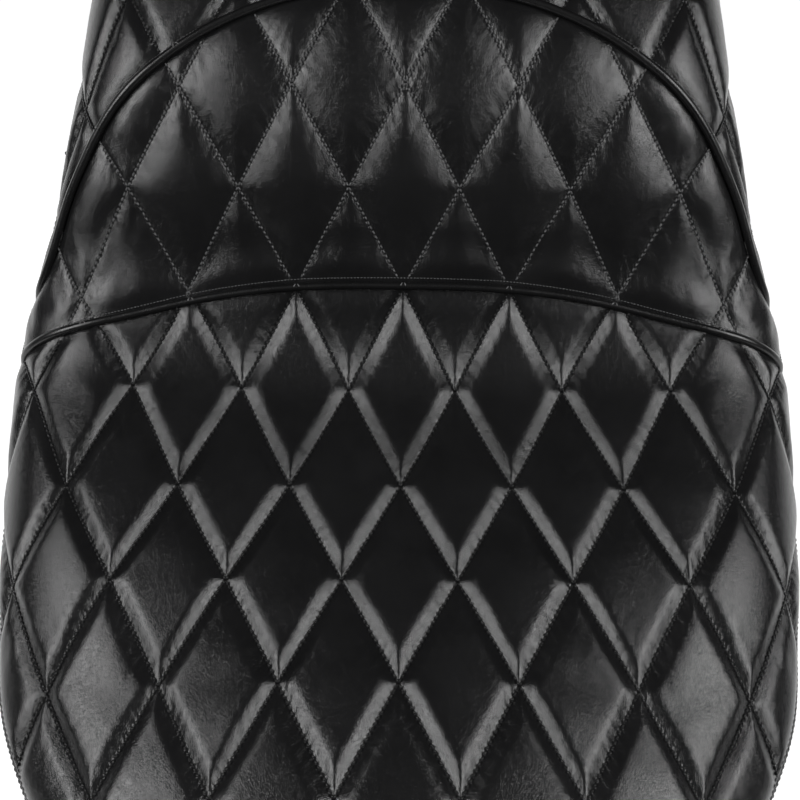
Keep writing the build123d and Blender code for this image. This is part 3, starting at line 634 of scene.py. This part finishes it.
def build_panel(name, panel):
    o = quilt_panel(name, panel)
    inflate(o, pinned_points(o), frames=10, pressure=0.6, slack=panel.slack, cap=0.0035)
    subdivide(o, 2)
    sink_seams(o, panel)
    pucker(o)
    register(o, "vinyl", "quilted", *panel.pieces)
    return o


covers = {name: build_panel(name, panel) for name, panel in PANELS.items()}


# ============================================================ thread
# A stitch is a short six-sided tube. Each ring has a place along its half length, a size,
# and a height in radii; the ends dive into the cover.
STITCH_RINGS = [(-1.0, 0.45, -1.15), (-0.72, 0.86, -0.1), (-0.3, 1.0, 0.42),
                (0.3, 1.0, 0.42), (0.72, 0.86, -0.1), (1.0, 0.45, -1.15)]
STITCH_SIDES = 6


def surface_trees(*objects):
    dg = bpy.context.evaluated_depsgraph_get()
    dg.update()
    return [BVHTree.FromObject(o, dg) for o in objects]


def drop(trees, points, normals, reach=7.0):
    """Moves points on to a surface along their normals; returns points and surface normals."""
    points, surface_normals = points.copy(), normals.copy()
    for i, normal in enumerate(normals):
        origin = Vector((points[i] + normal * reach) * MM)
        hits = [tree.ray_cast(origin, Vector(-normal), 2 * reach * MM) for tree in trees]
        hits = [hit for hit in hits if hit[0] is not None]
        if hits:
            location, facing, _, _ = min(hits, key=lambda hit: hit[3])
            points[i] = np.array(location) / MM
            facing = np.array(facing)
            surface_normals[i] = facing if facing @ normal > 0 else -facing
    return points, surface_normals


def stitch_mesh(name, runs, length, radius, lift):
    """Separate stitches. runs: list of (points, normals, tangents), each (n, 3) in mm."""
    points, normals, tangents = (np.concatenate(part) for part in zip(*runs))
    normals = square_to(normals, tangents)
    sideways = np.cross(tangents, normals)
    count = len(points)
    jitter = rng.uniform(-1, 1, (count, 3))
    half = length / 2 * (1 + 0.07 * jitter[:, 0])
    direction = tangents + sideways * (jitter[:, 1] * 0.05)[:, None]
    rings, sides = len(STITCH_RINGS), STITCH_SIDES
    angles = np.arange(sides) / sides * 2 * np.pi
    verts = np.empty((count, rings, sides, 3))
    for i, (place, size, height) in enumerate(STITCH_RINGS):
        centre = points + direction * (half * place)[:, None] + normals * (height * radius + lift)
        for j, angle in enumerate(angles):
            spoke = sideways * math.cos(angle) + normals * math.sin(angle)
            verts[:, i, j] = centre + spoke * (radius * size)
    first = np.arange(count) * rings * sides
    faces = [(first[:, None, None] + tube_faces(rings, sides)[None]).reshape(-1, 4)]
    for ring, caps in ((0, ((3, 2, 1, 0), (5, 4, 3, 0))),
                       (rings - 1, ((0, 1, 2, 3), (0, 3, 4, 5)))):
        for cap in caps:
            faces.append(first[:, None] + ring * sides + np.array(cap)[None, :])
    return add_mesh(name, verts.reshape(-1, 3), np.concatenate(faces))


def add_thread(name, runs, look, *, length, radius, lift, slot="vinyl"):
    register(stitch_mesh(name, runs, length, radius, lift), slot, look)


def arc_lengths(path):
    return np.concatenate([[0], np.cumsum(np.linalg.norm(np.diff(path, axis=0), axis=1))])


def interpolate(at, stations, vectors):
    return np.stack([np.interp(at, stations, vectors[:, axis]) for axis in range(3)], 1)


def stitch_run(trees, path, normals, pitch, skip):
    """Evenly spaced stitches along a path dropped on a surface, starting a skip from each end."""
    stations = arc_lengths(path)
    length = stations[-1] - 2 * skip
    count = int(length / pitch)
    at = skip + (np.arange(count) + 0.5) * (length / count)
    reach = pitch * 0.45
    chord = interpolate(at + reach, stations, path) - interpolate(at - reach, stations, path)
    points, surface_normals = drop(trees, interpolate(at, stations, path),
                                   unit(interpolate(at, stations, normals)))
    return points, surface_normals, square_to(chord, surface_normals)


LINE_SEAM_GAP, LINE_WELT_GAP = 3.4, 2.6               # quilting stops short of seams and welts


def lattice_run(trees, line, family, panel):
    """Stitches on one quilting line; family 0 holds p at the line number, family 1 holds q."""
    def place(run):
        fixed = np.full_like(run, line)
        return from_lattice(fixed, run) if family == 0 else from_lattice(run, fixed)

    reach = LATTICE_REACH * STITCHES_PER_SIDE
    run = (np.arange(-reach, reach) + 0.5) / STITCHES_PER_SIDE
    across, along = place(run)
    ok = inside(across, along, panel.edges)
    ok &= half_arc(along) - np.abs(across) > LINE_SEAM_GAP
    ok &= (along > ALONG_MIN + LINE_SEAM_GAP) & (along < ALONG_MAX - LINE_SEAM_GAP)
    for kind, _ in panel.edges:
        ok &= np.abs(welt_gap(kind, across, along)) > LINE_WELT_GAP
    if ok.sum() < 3:
        return None
    run = run[ok]
    skin, normals = skin_frame(*place(run))
    step = 0.4 / STITCHES_PER_SIDE
    chord = skin_point(*place(run + step)) - skin_point(*place(run - step))
    points, surface_normals = drop(trees, skin - normals * panel.depth * 0.8, normals)
    # the thread lies nearly square to the cover, not to the wall of the groove
    facing = normals * 0.75 + surface_normals * 0.25
    return points, facing, square_to(chord, surface_normals)


cover_trees = {name: surface_trees(o) for name, o in covers.items()}
for name, panel in PANELS.items():
    runs = [lattice_run(cover_trees[name], float(line), family, panel)
            for family in (0, 1) for line in range(-LATTICE_REACH, LATTICE_REACH + 1)]
    add_thread(name.replace("cover", "quilt_thread"), [run for run in runs if run],
               panel.thread, length=2.05, radius=0.47, lift=0.20)


# ============================================================ piping
PIPING_RADIUS = 2.05
PIPING_LIFT = 0.7                                     # piping centre above the skin
PIPING_SIDES = 14
PIPING_STEP = 1.1
TOPSTITCH_OFFSET = 2.7                                # topstitching runs behind the piping
# kind: (piece name, cover that carries the topstitching, piping end x, topstitching end x)
WELTS = {
    "front": ("riser_base_welt", "riser_cover", 204.0, 196.0),
    "arch": ("riser_arch_welt", "pillion_cover", ARCH_END_X - 1.8, ARCH_END_X - 9.0),
}


def welt_path(kind):
    end = WELTS[kind][2]
    x = np.linspace(-end, end, 900)
    return skin_frame(*to_cloth(x, WELT_Y[kind](np.abs(x))))


def piping(name, path, normals):
    """Round cord along a path, with both ends diving into the edge seam."""
    stations = arc_lengths(path)
    count = int(stations[-1] / PIPING_STEP)
    at = np.linspace(0, stations[-1], count)
    centre = interpolate(at, stations, path)
    tangent = unit(np.gradient(centre, axis=0))
    normal = square_to(interpolate(at, stations, normals), tangent)
    sideways = np.cross(tangent, normal)
    from_end = np.minimum(at, at[-1] - at)
    dive = 2.2 * np.exp(-(from_end / 28.0) ** 2) + 2.4 * np.exp(-(from_end / 9.0) ** 2)
    centre = centre + normal * (PIPING_LIFT - dive)[:, None]
    radius = PIPING_RADIUS + value_noise(centre, 6.0, 4) * 0.05
    sides = PIPING_SIDES
    angles = (np.arange(sides) / sides * 2 * np.pi)[None, :, None]
    spokes = sideways[:, None] * np.cos(angles) + normal[:, None] * np.sin(angles)
    rings = centre[:, None] + spokes * radius[:, None, None]
    tips = [centre[:1] - tangent[:1] * 0.6, centre[-1:] + tangent[-1:] * 0.6]
    faces = list(tube_faces(count, sides))
    last, tip = (count - 1) * sides, count * sides
    for side in range(sides):
        after = (side + 1) % sides
        faces.append((side, tip, after))
        faces.append((last + side, last + after, tip + 1))
    return add_mesh(name, np.concatenate([rings.reshape(-1, 3)] + tips), faces)


def welt_topstitch(kind):
    piece, cover, _, end = WELTS[kind]
    line = WELT_Y[kind]
    x = np.linspace(-end, end, 1200)
    slope = line(np.abs(x) + 0.5) - line(np.abs(x) - 0.5)
    y = line(np.abs(x)) + TOPSTITCH_OFFSET * np.sqrt(1 + slope ** 2)
    points, normals = skin_frame(*to_cloth(x, y))
    run = stitch_run(cover_trees[cover], points, normals, pitch=1.7, skip=1.0)
    # painted glint: the welt topstitching gets the paler thread colour, standing in for the glints that
    # light puts on it
    add_thread(piece + "_topstitch", [run], "painted_glint_thread", length=1.25, radius=0.27, lift=0.14)


for kind, (piece, *_) in WELTS.items():
    cord = piping(piece + "_piping", *welt_path(kind))
    register(cord, "piping", "piping", piece, piece + "_cord")
    welt_topstitch(kind)

# Small groups of pale thread over the piping, at these x places.
TACK_X = {
    "front": [column * DIAMOND_WIDTH * 0.985 for column in range(-3, 4)],
    "arch": [-150, -110, -57, 57, 110, 150],
}
TACK_HEIGHT = PIPING_LIFT + 1.45
# each tack: offset along the welt, lean along it, offset across it, downward dip
TACK_THREADS = [(-1.0, 0.55, 1.25, 0.55), (0.9, -0.5, 1.25, 0.55), (0.1, 0.2, 0.2, 0.0)]


def add_tacks(kind):
    path, normals = welt_path(kind)
    points, facings, directions = [], [], []
    for x in TACK_X[kind]:
        i = int(np.argmin(np.abs(path[:, 0] - x)))
        tangent = unit(path[min(i + 3, len(path) - 1)] - path[i - 3])
        normal = square_to(normals[i], tangent)
        sideways = np.cross(normal, tangent)
        for offset, lean, across, dip in TACK_THREADS:
            points.append(path[i] + normal * TACK_HEIGHT + tangent * offset + sideways * across)
            facings.append(normal + sideways * 0.5)
            directions.append(unit(sideways * 0.75 + tangent * lean - normal * dip))
    run = np.array(points), unit(np.array(facings)), np.array(directions)
    add_thread("tacks_" + kind, [run], "pale_thread",
               length=2.0, radius=0.20, lift=0.1, slot="piping")


for kind in WELTS:
    add_tacks(kind)


# ============================================================ skirt
HEM_BEND = 4.2                                        # bend radius round the pan rim
HEM_IN = 17.0                                         # width turned under
BULGE = 2.7
SKIRT_START, SKIRT_END = 0.0004, 0.9996               # fractions of the outline edge


class Skirt(NamedTuple):
    piece: str
    steps: int        # mesh steps along the edge
    length: float     # nominal length, for the dip at its ends
    blend: float      # fraction of the edge over which its normal turns at a corner
    ends: tuple       # neighbouring edges at its start and end
    meets: float      # where along its neighbours it meets them
    flip: bool        # whether the faces are reversed


SKIRTS = {
    "left": Skirt("side_panel_left", 420, TAIL_CORNER_Y - NOSE_CORNER_Y, 0.07,
                  ends=("nose", "rear"), meets=0.0, flip=True),
    "right": Skirt("side_panel_right", 420, TAIL_CORNER_Y - NOSE_CORNER_Y, 0.07,
                   ends=("nose", "rear"), meets=1.0, flip=False),
    "nose": Skirt("nose_panel", 110, 2 * NOSE_HALF, 0.25,
                  ends=("left", "right"), meets=0.0, flip=False),
    "rear": Skirt("rear_panel", 140, 250.0, 0.25,
                  ends=("left", "right"), meets=1.0, flip=True),
}


def outline(edge, s):
    """Point and outward plan normal at fraction s of one edge of the outline."""
    if edge in ("left", "right"):
        sign = -1 if edge == "left" else 1
        y = NOSE_CORNER_Y + (TAIL_CORNER_Y - NOSE_CORNER_Y) * s
        x = sign * float(half_width(y))
        slope = float(half_width(y + 1) - half_width(y - 1)) / 2
        normal = np.array([sign, -slope])
    elif edge == "nose":
        x = (2 * s - 1) * NOSE_HALF
        y = nose_edge_y(x)
        normal = np.array([2 * NOSE_BOW * x / NOSE_HALF ** 2, -1])
    else:
        x = (2 * s - 1) * TAIL_HALF
        y = tail_edge_y(x)
        normal = np.array([2 * TAIL_BOW * x / TAIL_HALF ** 2, 1])
    return x, y, unit(normal)


def mitred_outline(edge, s):
    """The outline with its normal turned to the corner bisector near both ends."""
    x, y, normal = outline(edge, s)
    skirt = SKIRTS[edge]
    for corner, neighbour in zip((0.0, 1.0), skirt.ends):
        distance = abs(s - corner)
        if distance < skirt.blend:
            bisector = unit(normal + outline(neighbour, skirt.meets)[2])
            bisector = bisector / max(0.5, float(bisector @ normal))
            normal = normal + (bisector - normal) * ease(1 - distance / skirt.blend)
    return x, y, normal


def skirt_section():
    """(fraction of the way down, height above the rim, outward offset) from seam to hem."""
    section = []
    for down in np.linspace(0, 1, 22):
        bulge = BULGE * math.sin(math.pi * min(1.0, down * 1.1)) ** 0.9 if 0 < down < 0.9 else 0.0
        section.append((down, HEM_BEND, bulge))
    for degrees in range(10, 91, 10):
        angle = math.radians(degrees)
        section.append((1.0, HEM_BEND * (1 - math.sin(angle)), -HEM_BEND * (1 - math.cos(angle))))
    for under in np.linspace(0.1, 1.0, 8):
        section.append((1.0, 0.0, -HEM_BEND - HEM_IN * under))
    return section


def skirt_points(edge, section):
    """Outer face of a skirt panel from the edge seam, down, round the pan rim and under."""
    steps, length = SKIRTS[edge].steps, SKIRTS[edge].length
    span = SKIRT_END - SKIRT_START
    points = []
    for i in range(steps + 1):
        s = SKIRT_START + span * i / steps
        x, y, normal = mitred_outline(edge, s)
        top = float(edge_z(y)) - 0.25
        lean = float(tuck(y))
        from_end = min(s - SKIRT_START, SKIRT_END - s) / span * length
        dip = math.exp(-from_end / 2.2) * 1.3
        for down, lift, out in section:
            # the top edge rolls into the seam
            roll = 1.3 * math.exp(-down * (top - 20) / 2.0)
            offset = out - lean * down - roll - (dip if down < 1 else 0)
            point_x, point_y = x + normal[0] * offset, y + normal[1] * offset
            low = float(hem_z(point_y)) + lift
            points.append((point_x, point_y, top + (low - top) * down))
    return np.array(points)


def build_skirt(edge):
    skirt = SKIRTS[edge]
    section = skirt_section()
    points = skirt_points(edge, section)
    rows = len(section)
    i = np.arange(skirt.steps)[:, None] * rows
    j = np.arange(rows - 1)[None, :]
    faces = np.stack([i + j, i + rows + j, i + rows + j + 1, i + j + 1], -1).reshape(-1, 4)
    if skirt.flip:
        faces = faces[:, ::-1]
    o = add_mesh("cover_" + skirt.piece, points, faces)
    # gentle drag folds, drawn out in height and growing towards the hem
    down = np.arange(len(points)) % rows / (rows - 1)
    fold = (value_noise(points * np.array([1, 1, 0.35]), 26.0, 11) * 0.28
            + value_noise(points * np.array([1, 1, 0.3]), 9.0, 12) * 0.12)
    push_out(o, fold * np.clip(down * 3, 0, 1) * (0.5 + 0.5 * down))
    solidify = o.modifiers.new("thick", "SOLIDIFY")
    solidify.thickness = 0.0011
    solidify.offset = -1.0
    apply_all(o)
    register(o, "vinyl", "vinyl", skirt.piece)
    return o


skirts = [build_skirt(edge) for edge in SKIRTS]

# ------------------------------------------------------------ edge seam thread
EDGE_PITCH = 2.9
TOP_ROW_IN = 3.0                                      # upper row, in from the edge seam


def top_edge_runs():
    """The row on the top covers: both sides, then nose and tail."""
    trees = surface_trees(*covers.values())
    runs = []
    along = np.linspace(ALONG_MIN + 16, ALONG_MAX - 18, 5000)
    for sign in (-1, 1):
        points, normals = skin_frame(sign * (half_arc(along) - TOP_ROW_IN), along)
        runs.append(stitch_run(trees, points, normals, EDGE_PITCH, skip=1.5))
    for end in (ALONG_MIN + TOP_ROW_IN, ALONG_MAX - TOP_ROW_IN):
        across = np.linspace(-1, 1, 1500) * (half_arc(end) - 4.0)
        points, normals = skin_frame(across, np.full_like(across, end))
        runs.append(stitch_run(trees, points, normals, EDGE_PITCH, skip=1.0))
    return runs


def skirt_edge_runs():
    """The row just below the edge seam, on each skirt panel."""
    trees = surface_trees(*skirts)
    runs = []
    for edge in SKIRTS:
        points, normals = [], []
        for s in np.linspace(0.006, 0.994, 900 if edge in ("left", "right") else 260):
            x, y, normal = mitred_outline(edge, s)
            down = 3.2 / max(20.0, float(edge_z(y) - hem_z(y)))
            offset = 1.0 - float(tuck(y)) * down
            points.append((x + normal[0] * offset, y + normal[1] * offset,
                           float(edge_z(y)) - 3.4))
            normals.append((normal[0], normal[1], 0.0))
        runs.append(stitch_run(trees, np.array(points), unit(np.array(normals)),
                               EDGE_PITCH, skip=1.0))
    return runs


# painted glint: the edge seam topstitching gets the paler thread colour, standing in for the glints
# that light puts on it
add_thread("edge_seam_topstitch", top_edge_runs() + skirt_edge_runs(), "painted_glint_thread",
           length=2.2, radius=0.27, lift=0.06)

# A loose thread end on the left edge seam, level with the riser: points from its root.
LOOSE_Y = 34.0
LOOSE_LOOP = [(0, 0, 0), (-1.1, 0.7, 0.5), (-1.9, 0.1, 0.9),
              (-1.6, -1.0, 0.8), (-0.7, -1.3, 0.3), (-1.5, -2.3, -0.2)]


def add_loose_end():
    root = np.array([-float(half_width(LOOSE_Y)) - 0.4, LOOSE_Y, float(edge_z(LOOSE_Y)) - 1.0])
    points = root + np.array(LOOSE_LOOP)
    middles = (points[:-1] + points[1:]) / 2
    facings = np.tile([0.1, 0.0, 1.0], (len(middles), 1))
    run = middles, facings, unit(points[1:] - points[:-1])
    add_thread("loose_thread_end", [run], "thread", length=1.9, radius=0.26, lift=0.0)


add_loose_end()


# ============================================================ material helpers
def new_material(name):
    material = bpy.data.materials.new(name)
    material.use_nodes = True
    nt = material.node_tree
    return material, nt, nt.nodes["Principled BSDF"]


def node(nt, kind, **settings):
    """Adds a node; a setting is an input's value if the node has that input, else a property."""
    new = nt.nodes.new(kind)
    for key, value in settings.items():
        if key in new.inputs:
            new.inputs[key].default_value = value
        else:
            setattr(new, key, value)
    return new


def object_coordinates(nt):
    return node(nt, "ShaderNodeTexCoord").outputs["Object"]


def texture(nt, kind, vector, **settings):
    new = node(nt, "ShaderNodeTex" + kind, **settings)
    nt.links.new(vector, new.inputs["Vector"])
    return new


def ramp(nt, source, *stops):
    """Colour ramp between two (position, colour) stops."""
    new = node(nt, "ShaderNodeValToRGB")
    for element, (position, color) in zip(new.color_ramp.elements, stops):
        element.position = position
        element.color = (*color, 1)
    nt.links.new(source, new.inputs["Fac"])
    return new.outputs["Color"]


def bump(nt, height, strength, distance, below=None):
    """Bump laid over the normal of the one below; returns the new normal."""
    new = node(nt, "ShaderNodeBump", Strength=strength, Distance=distance)
    nt.links.new(height, new.inputs["Height"])
    if below is not None:
        nt.links.new(below, new.inputs["Normal"])
    return new.outputs["Normal"]


def vary_roughness(nt, source, shader, low, high):
    new = node(nt, "ShaderNodeMapRange", **{"To Min": low, "To Max": high})
    nt.links.new(source, new.inputs["Value"])
    nt.links.new(new.outputs["Result"], shader.inputs["Roughness"])


class Signal:
    """Writes arithmetic on a socket as shader nodes."""

    def __init__(self, nt, out):
        self.nt, self.out = nt, out

    def _do(self, operation, *others):
        new = self.nt.nodes.new("ShaderNodeMath")
        new.operation = operation
        for i, value in enumerate((self,) + others):
            if isinstance(value, Signal):
                self.nt.links.new(value.out, new.inputs[i])
            else:
                new.inputs[i].default_value = value
        return Signal(self.nt, new.outputs[0])

    def __add__(self, value):
        return self._do("ADD", value)

    def __sub__(self, value):
        return self._do("SUBTRACT", value)

    def __mul__(self, value):
        return self._do("MULTIPLY", value)

    def cos(self):
        return self._do("COSINE")

    def exp(self):
        return self._do("EXPONENT")

    def abs(self):
        return self._do("ABSOLUTE")

    def off_line(self):
        """Signed distance from the nearest whole number."""
        return self - self._do("ROUND")


# ============================================================ materials
HOLE_PITCH = 2.757                                    # needle holes along a line
HOLE_SPREAD = 0.60                                    # square millimetres
HOLE_DEPTH = -0.30


def needle_marks(nt, vector, shader, below):
    """Needle holes and the gathers between them, tied to the quilting lattice."""
    p, q, rim = (Signal(nt, node(nt, "ShaderNodeAttribute", attribute_name=name).outputs["Fac"])
                 for name in ("p", "q", "rim"))
    noise = texture(nt, "Noise", vector, Scale=160.0, Detail=2.0)
    wobble = Signal(nt, noise.outputs["Fac"]) - 0.5
    height = holes = None
    for line, run in ((p, q), (q, p)):
        off = line.off_line() * DIAMOND_SIDE
        distance = off.abs()
        stitches = run * float(STITCHES_PER_SIDE)
        from_hole = stitches.off_line() * HOLE_PITCH
        hole = ((off * off + from_hole * from_hole) * (-1 / HOLE_SPREAD)).exp()
        # short gathers at every hole, and longer ones at about every second hole
        short = ((stitches * (2 * math.pi) + wobble * 5.0 + distance * 0.15).cos()
                 * (distance * (-1 / 1.4)).exp() * -0.024)
        long = ((stitches * (0.93 * math.pi) + wobble * 8.0 + distance * 0.2).cos()
                * (distance * (-1 / 3.0)).exp() * 0.022)
        relief = short + long + hole * HOLE_DEPTH
        height = relief if height is None else height + relief
        holes = hole if holes is None else holes + hole
    height = height * rim
    holes = holes * rim
    normal = bump(nt, height.out, strength=1.0, distance=0.001, below=below)
    # painted shade: the needle holes hardly shine, standing in for the shade inside them
    specular = (holes * -0.9 + 1.0) * 0.5
    nt.links.new(specular.out, shader.inputs["Specular IOR Level"])
    return normal


def leather(name, base, rough, grain=1.0, crease=1.0, stitched=False):
    material, nt, shader = new_material(name)
    link = nt.links.new
    vector = object_coordinates(nt)
    # grain: fine pebbles with shallow valleys, on slightly warped coordinates
    warp = texture(nt, "Noise", vector, Scale=500.0, Detail=2.0)
    warped = node(nt, "ShaderNodeMixRGB", blend_type="ADD", Fac=0.0009)
    link(vector, warped.inputs[1])
    link(warp.outputs["Color"], warped.inputs[2])
    cells = texture(nt, "Voronoi", warped.outputs[0], Scale=1150.0, feature="DISTANCE_TO_EDGE")
    pebbles = ramp(nt, cells.outputs["Distance"], (0.0, (0, 0, 0)), (0.25, (1, 1, 1)))
    pores = texture(nt, "Noise", vector, Scale=2600.0, Detail=3.0, Roughness=0.6)
    hair = texture(nt, "Noise", vector, Scale=210.0, Detail=4.0, Roughness=0.6, Distortion=0.9)
    creases = (Signal(nt, hair.outputs["Fac"]) - 0.5).abs()
    normal = bump(nt, creases.out, strength=0.17 * crease, distance=0.00045)
    normal = bump(nt, pebbles, strength=0.34 * grain, distance=0.00012, below=normal)
    normal = bump(nt, pores.outputs["Fac"], strength=0.12, distance=0.00006, below=normal)
    if stitched:
        normal = needle_marks(nt, vector, shader, normal)
    link(normal, shader.inputs["Normal"])
    # broad patches, some slightly paler
    patches = texture(nt, "Noise", vector, Scale=34.0, Detail=4.0, Roughness=0.6)
    color = ramp(nt, patches.outputs["Fac"], (0.3, tuple(c * 0.8 for c in base)),
                 (0.75, tuple(c * 1.3 for c in base)))
    link(color, shader.inputs["Base Color"])
    vary_roughness(nt, hair.outputs["Fac"], shader, low=rough - 0.03, high=rough + 0.05)
    return material


def thread(name, dark, light):
    """Banded grey thread."""
    material, nt, shader = new_material(name)
    bands = texture(nt, "Wave", object_coordinates(nt), Scale=900.0, Distortion=2.0, Detail=1.0)
    color = ramp(nt, bands.outputs["Color"], (0.0, (dark, dark, dark)),
                 (1.0, (light, light, light * 1.02)))
    nt.links.new(color, shader.inputs["Base Color"])
    normal = bump(nt, bands.outputs["Fac"], strength=0.5, distance=0.00008)
    nt.links.new(normal, shader.inputs["Normal"])
    shader.inputs["Roughness"].default_value = 0.30
    return material


def hard(name, dark, light, rough, metal=0.0, scale=300.0, relief=0.15, depth=0.0001, coat=0.0):
    """Mottled metal, plastic or rubber; relief and depth are the bump strength and distance."""
    material, nt, shader = new_material(name)
    mottle = texture(nt, "Noise", object_coordinates(nt), Scale=scale, Detail=5.0, Roughness=0.6)
    mottle = mottle.outputs["Fac"]
    nt.links.new(ramp(nt, mottle, (0.35, dark), (0.7, light)), shader.inputs["Base Color"])
    vary_roughness(nt, mottle, shader, low=max(0.05, rough - 0.07), high=rough + 0.1)
    nt.links.new(bump(nt, mottle, relief, depth), shader.inputs["Normal"])
    shader.inputs["Metallic"].default_value = metal
    shader.inputs["Coat Weight"].default_value = coat
    return material


BLACK = (0.0078, 0.0078, 0.0081)
COVER_MATERIALS = {
    "vinyl": leather("vinyl_mat", base=BLACK, rough=0.235),
    "quilted": leather("quilted_mat", base=BLACK, rough=0.225, stitched=True),
    "piping": leather("piping_mat", base=(0.0060, 0.0060, 0.0062), rough=0.27,
                      grain=0.5, crease=0.5),
    "thread": thread("thread_mat", dark=0.005, light=0.018),
    "pale_thread": thread("pale_thread_mat", dark=0.10, light=0.30),
    # painted glint: the same black thread made paler, standing in for the white glints that light gives
    # the riser and topstitch threads
    "painted_glint_thread": thread("painted_glint_thread_mat", dark=0.035, light=0.14),
}
CAD_MATERIALS = {
    "base_pan": hard(
        "pan_mat", dark=(0.016, 0.016, 0.017), light=(0.028, 0.028, 0.03), rough=0.55,
        scale=1400.0, relief=0.35, depth=0.00012),
    "vent_grommets": hard(
        "grommet_mat", dark=(0.03, 0.03, 0.031), light=(0.045, 0.045, 0.047), rough=0.42,
        scale=700.0),
    "front_tongue_bracket": hard(
        "coat_mat", dark=(0.014, 0.014, 0.015), light=(0.024, 0.024, 0.025), rough=0.42,
        scale=900.0, relief=0.3, coat=0.25),
    "front_bracket_rivets": hard(
        "rivet_mat", dark=(0.62, 0.62, 0.64), light=(0.78, 0.78, 0.8), rough=0.34,
        metal=1.0, scale=500.0),
    "rivet_washers": hard(
        "washer_mat", dark=(0.45, 0.46, 0.47), light=(0.62, 0.62, 0.62), rough=0.36,
        metal=1.0, scale=260.0),
    "mount_screw": hard(
        "screw_mat", dark=(0.7, 0.7, 0.72), light=(0.86, 0.86, 0.88), rough=0.16,
        metal=1.0, scale=200.0, relief=0.05),
    "screw_retaining_washer": hard(
        "nylon_mat", dark=(0.72, 0.71, 0.66), light=(0.82, 0.81, 0.76), rough=0.5, scale=400.0),
    "tab_cushion": hard(
        "rubber_mat", dark=(0.018, 0.018, 0.018), light=(0.03, 0.03, 0.03), rough=0.72,
        scale=900.0, relief=0.4, depth=0.00015),
    "cover_staples": hard(
        "staple_mat", dark=(0.5, 0.5, 0.52), light=(0.66, 0.66, 0.68), rough=0.38,
        metal=1.0, scale=600.0),
}
for piece, like in (("rear_tab_bracket", "front_tongue_bracket"),
                    ("rear_bracket_rivets", "front_bracket_rivets"),
                    ("rail_bumpers", "tab_cushion"),
                    ("fender_bumpers", "tab_cushion")):
    CAD_MATERIALS[piece] = CAD_MATERIALS[like]


def paint(o, material):
    o.data.materials.clear()
    o.data.materials.append(material)


for name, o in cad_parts.items():
    if name in CAD_MATERIALS:
        paint(o, CAD_MATERIALS[name])
for o, look in looks:
    paint(o, COVER_MATERIALS[look])


# ============================================================ studio
FLOOR_HALF, FLOOR_Z = 4000, -0.2                      # millimetres
# The rest of the studio is in metres.
LIGHT_TARGET = Vector((0, -0.10, 0.1))
LIGHT_DISTANCE = 1.5
LIGHT_SIZE = (0.54, 1.03)
LIGHT_POWER = 15.0
CAMERA_PLACE = (-0.0008, -0.305, 0.6536)
CAMERA_PITCH = math.radians(68.0)                     # below the horizontal
CAMERA_ROLL = math.radians(0.68)


def axes_to_euler(x_axis, y_axis, z_axis):
    return Matrix((x_axis, y_axis, z_axis)).transposed().to_euler()


def mix_shaders(nt, factor, first, second, output):
    mix = node(nt, "ShaderNodeMixShader")
    nt.links.new(factor, mix.inputs["Fac"])
    nt.links.new(first.outputs[0], mix.inputs[1])
    nt.links.new(second.outputs[0], mix.inputs[2])
    nt.links.new(mix.outputs[0], nt.nodes[output].inputs["Surface"])


def add_floor():
    """White floor that is clear from below, so the underside can be looked at."""
    corners = [(-1, -1), (1, -1), (1, 1), (-1, 1)]
    verts = [(x * FLOOR_HALF, y * FLOOR_HALF, FLOOR_Z) for x, y in corners]
    floor = add_mesh("floor", verts, [(0, 1, 2, 3)], smooth=False)
    material, nt, shader = new_material("floor_mat")
    shader.inputs["Base Color"].default_value = (0.93, 0.93, 0.93, 1)
    shader.inputs["Roughness"].default_value = 0.9
    shader.inputs["Specular IOR Level"].default_value = 0.1
    shader.inputs["Emission Color"].default_value = (1, 1, 1, 1)
    shader.inputs["Emission Strength"].default_value = 0.62
    backfacing = node(nt, "ShaderNodeNewGeometry").outputs["Backfacing"]
    clear = node(nt, "ShaderNodeBsdfTransparent")
    mix_shaders(nt, backfacing, shader, clear, "Material Output")
    paint(floor, material)


def add_softbox(name, sign):
    """Large softbox to one side, a little towards the nose from overhead."""
    direction = Vector((sign * 0.635, -0.15, 0.757)).normalized()
    light = bpy.data.lights.new(name, "AREA")
    light.shape = "RECTANGLE"
    light.size, light.size_y = LIGHT_SIZE
    light.energy = LIGHT_POWER
    o = bpy.data.objects.new(name, light)
    bpy.context.scene.collection.objects.link(o)
    o.location = LIGHT_TARGET + direction * LIGHT_DISTANCE
    # the long side runs along the seat
    long_axis = (Vector((0, 1, 0)) - direction * direction.y).normalized()
    o.rotation_euler = axes_to_euler(long_axis.cross(direction), long_axis, direction)


def add_world():
    """White where the camera sees it directly, dark in everything else, as in reflections."""
    world = bpy.data.worlds.new("world")
    bpy.context.scene.world = world
    world.use_nodes = True
    nt = world.node_tree
    dark = nt.nodes["Background"]
    dark.inputs["Color"].default_value = (1, 1, 1, 1)
    dark.inputs["Strength"].default_value = 0.01
    seen = node(nt, "ShaderNodeBackground", Color=(1, 1, 1, 1), Strength=1.0)
    camera_ray = node(nt, "ShaderNodeLightPath").outputs["Is Camera Ray"]
    mix_shaders(nt, camera_ray, dark, seen, "World Output")


def add_camera():
    """Looks down and towards the tail from above the nose half."""
    camera = bpy.data.cameras.new("camera")
    o = bpy.data.objects.new("camera", camera)
    bpy.context.scene.collection.objects.link(o)
    camera.sensor_width = 36.0
    camera.lens = 51.75
    camera.clip_start = 0.01
    o.location = CAMERA_PLACE
    forward = Vector((0, math.cos(CAMERA_PITCH), -math.sin(CAMERA_PITCH)))
    level = Vector((1, 0, 0))
    upright = level.cross(forward)
    right = level * math.cos(CAMERA_ROLL) + upright * math.sin(CAMERA_ROLL)
    up = -level * math.sin(CAMERA_ROLL) + upright * math.cos(CAMERA_ROLL)
    o.rotation_euler = axes_to_euler(right, up, -forward)
    bpy.context.scene.camera = o


add_floor()
add_softbox("left_soft", -1)
add_softbox("right_soft", 1)
add_world()
add_camera()
bpy.context.scene.view_settings.view_transform = "Standard"
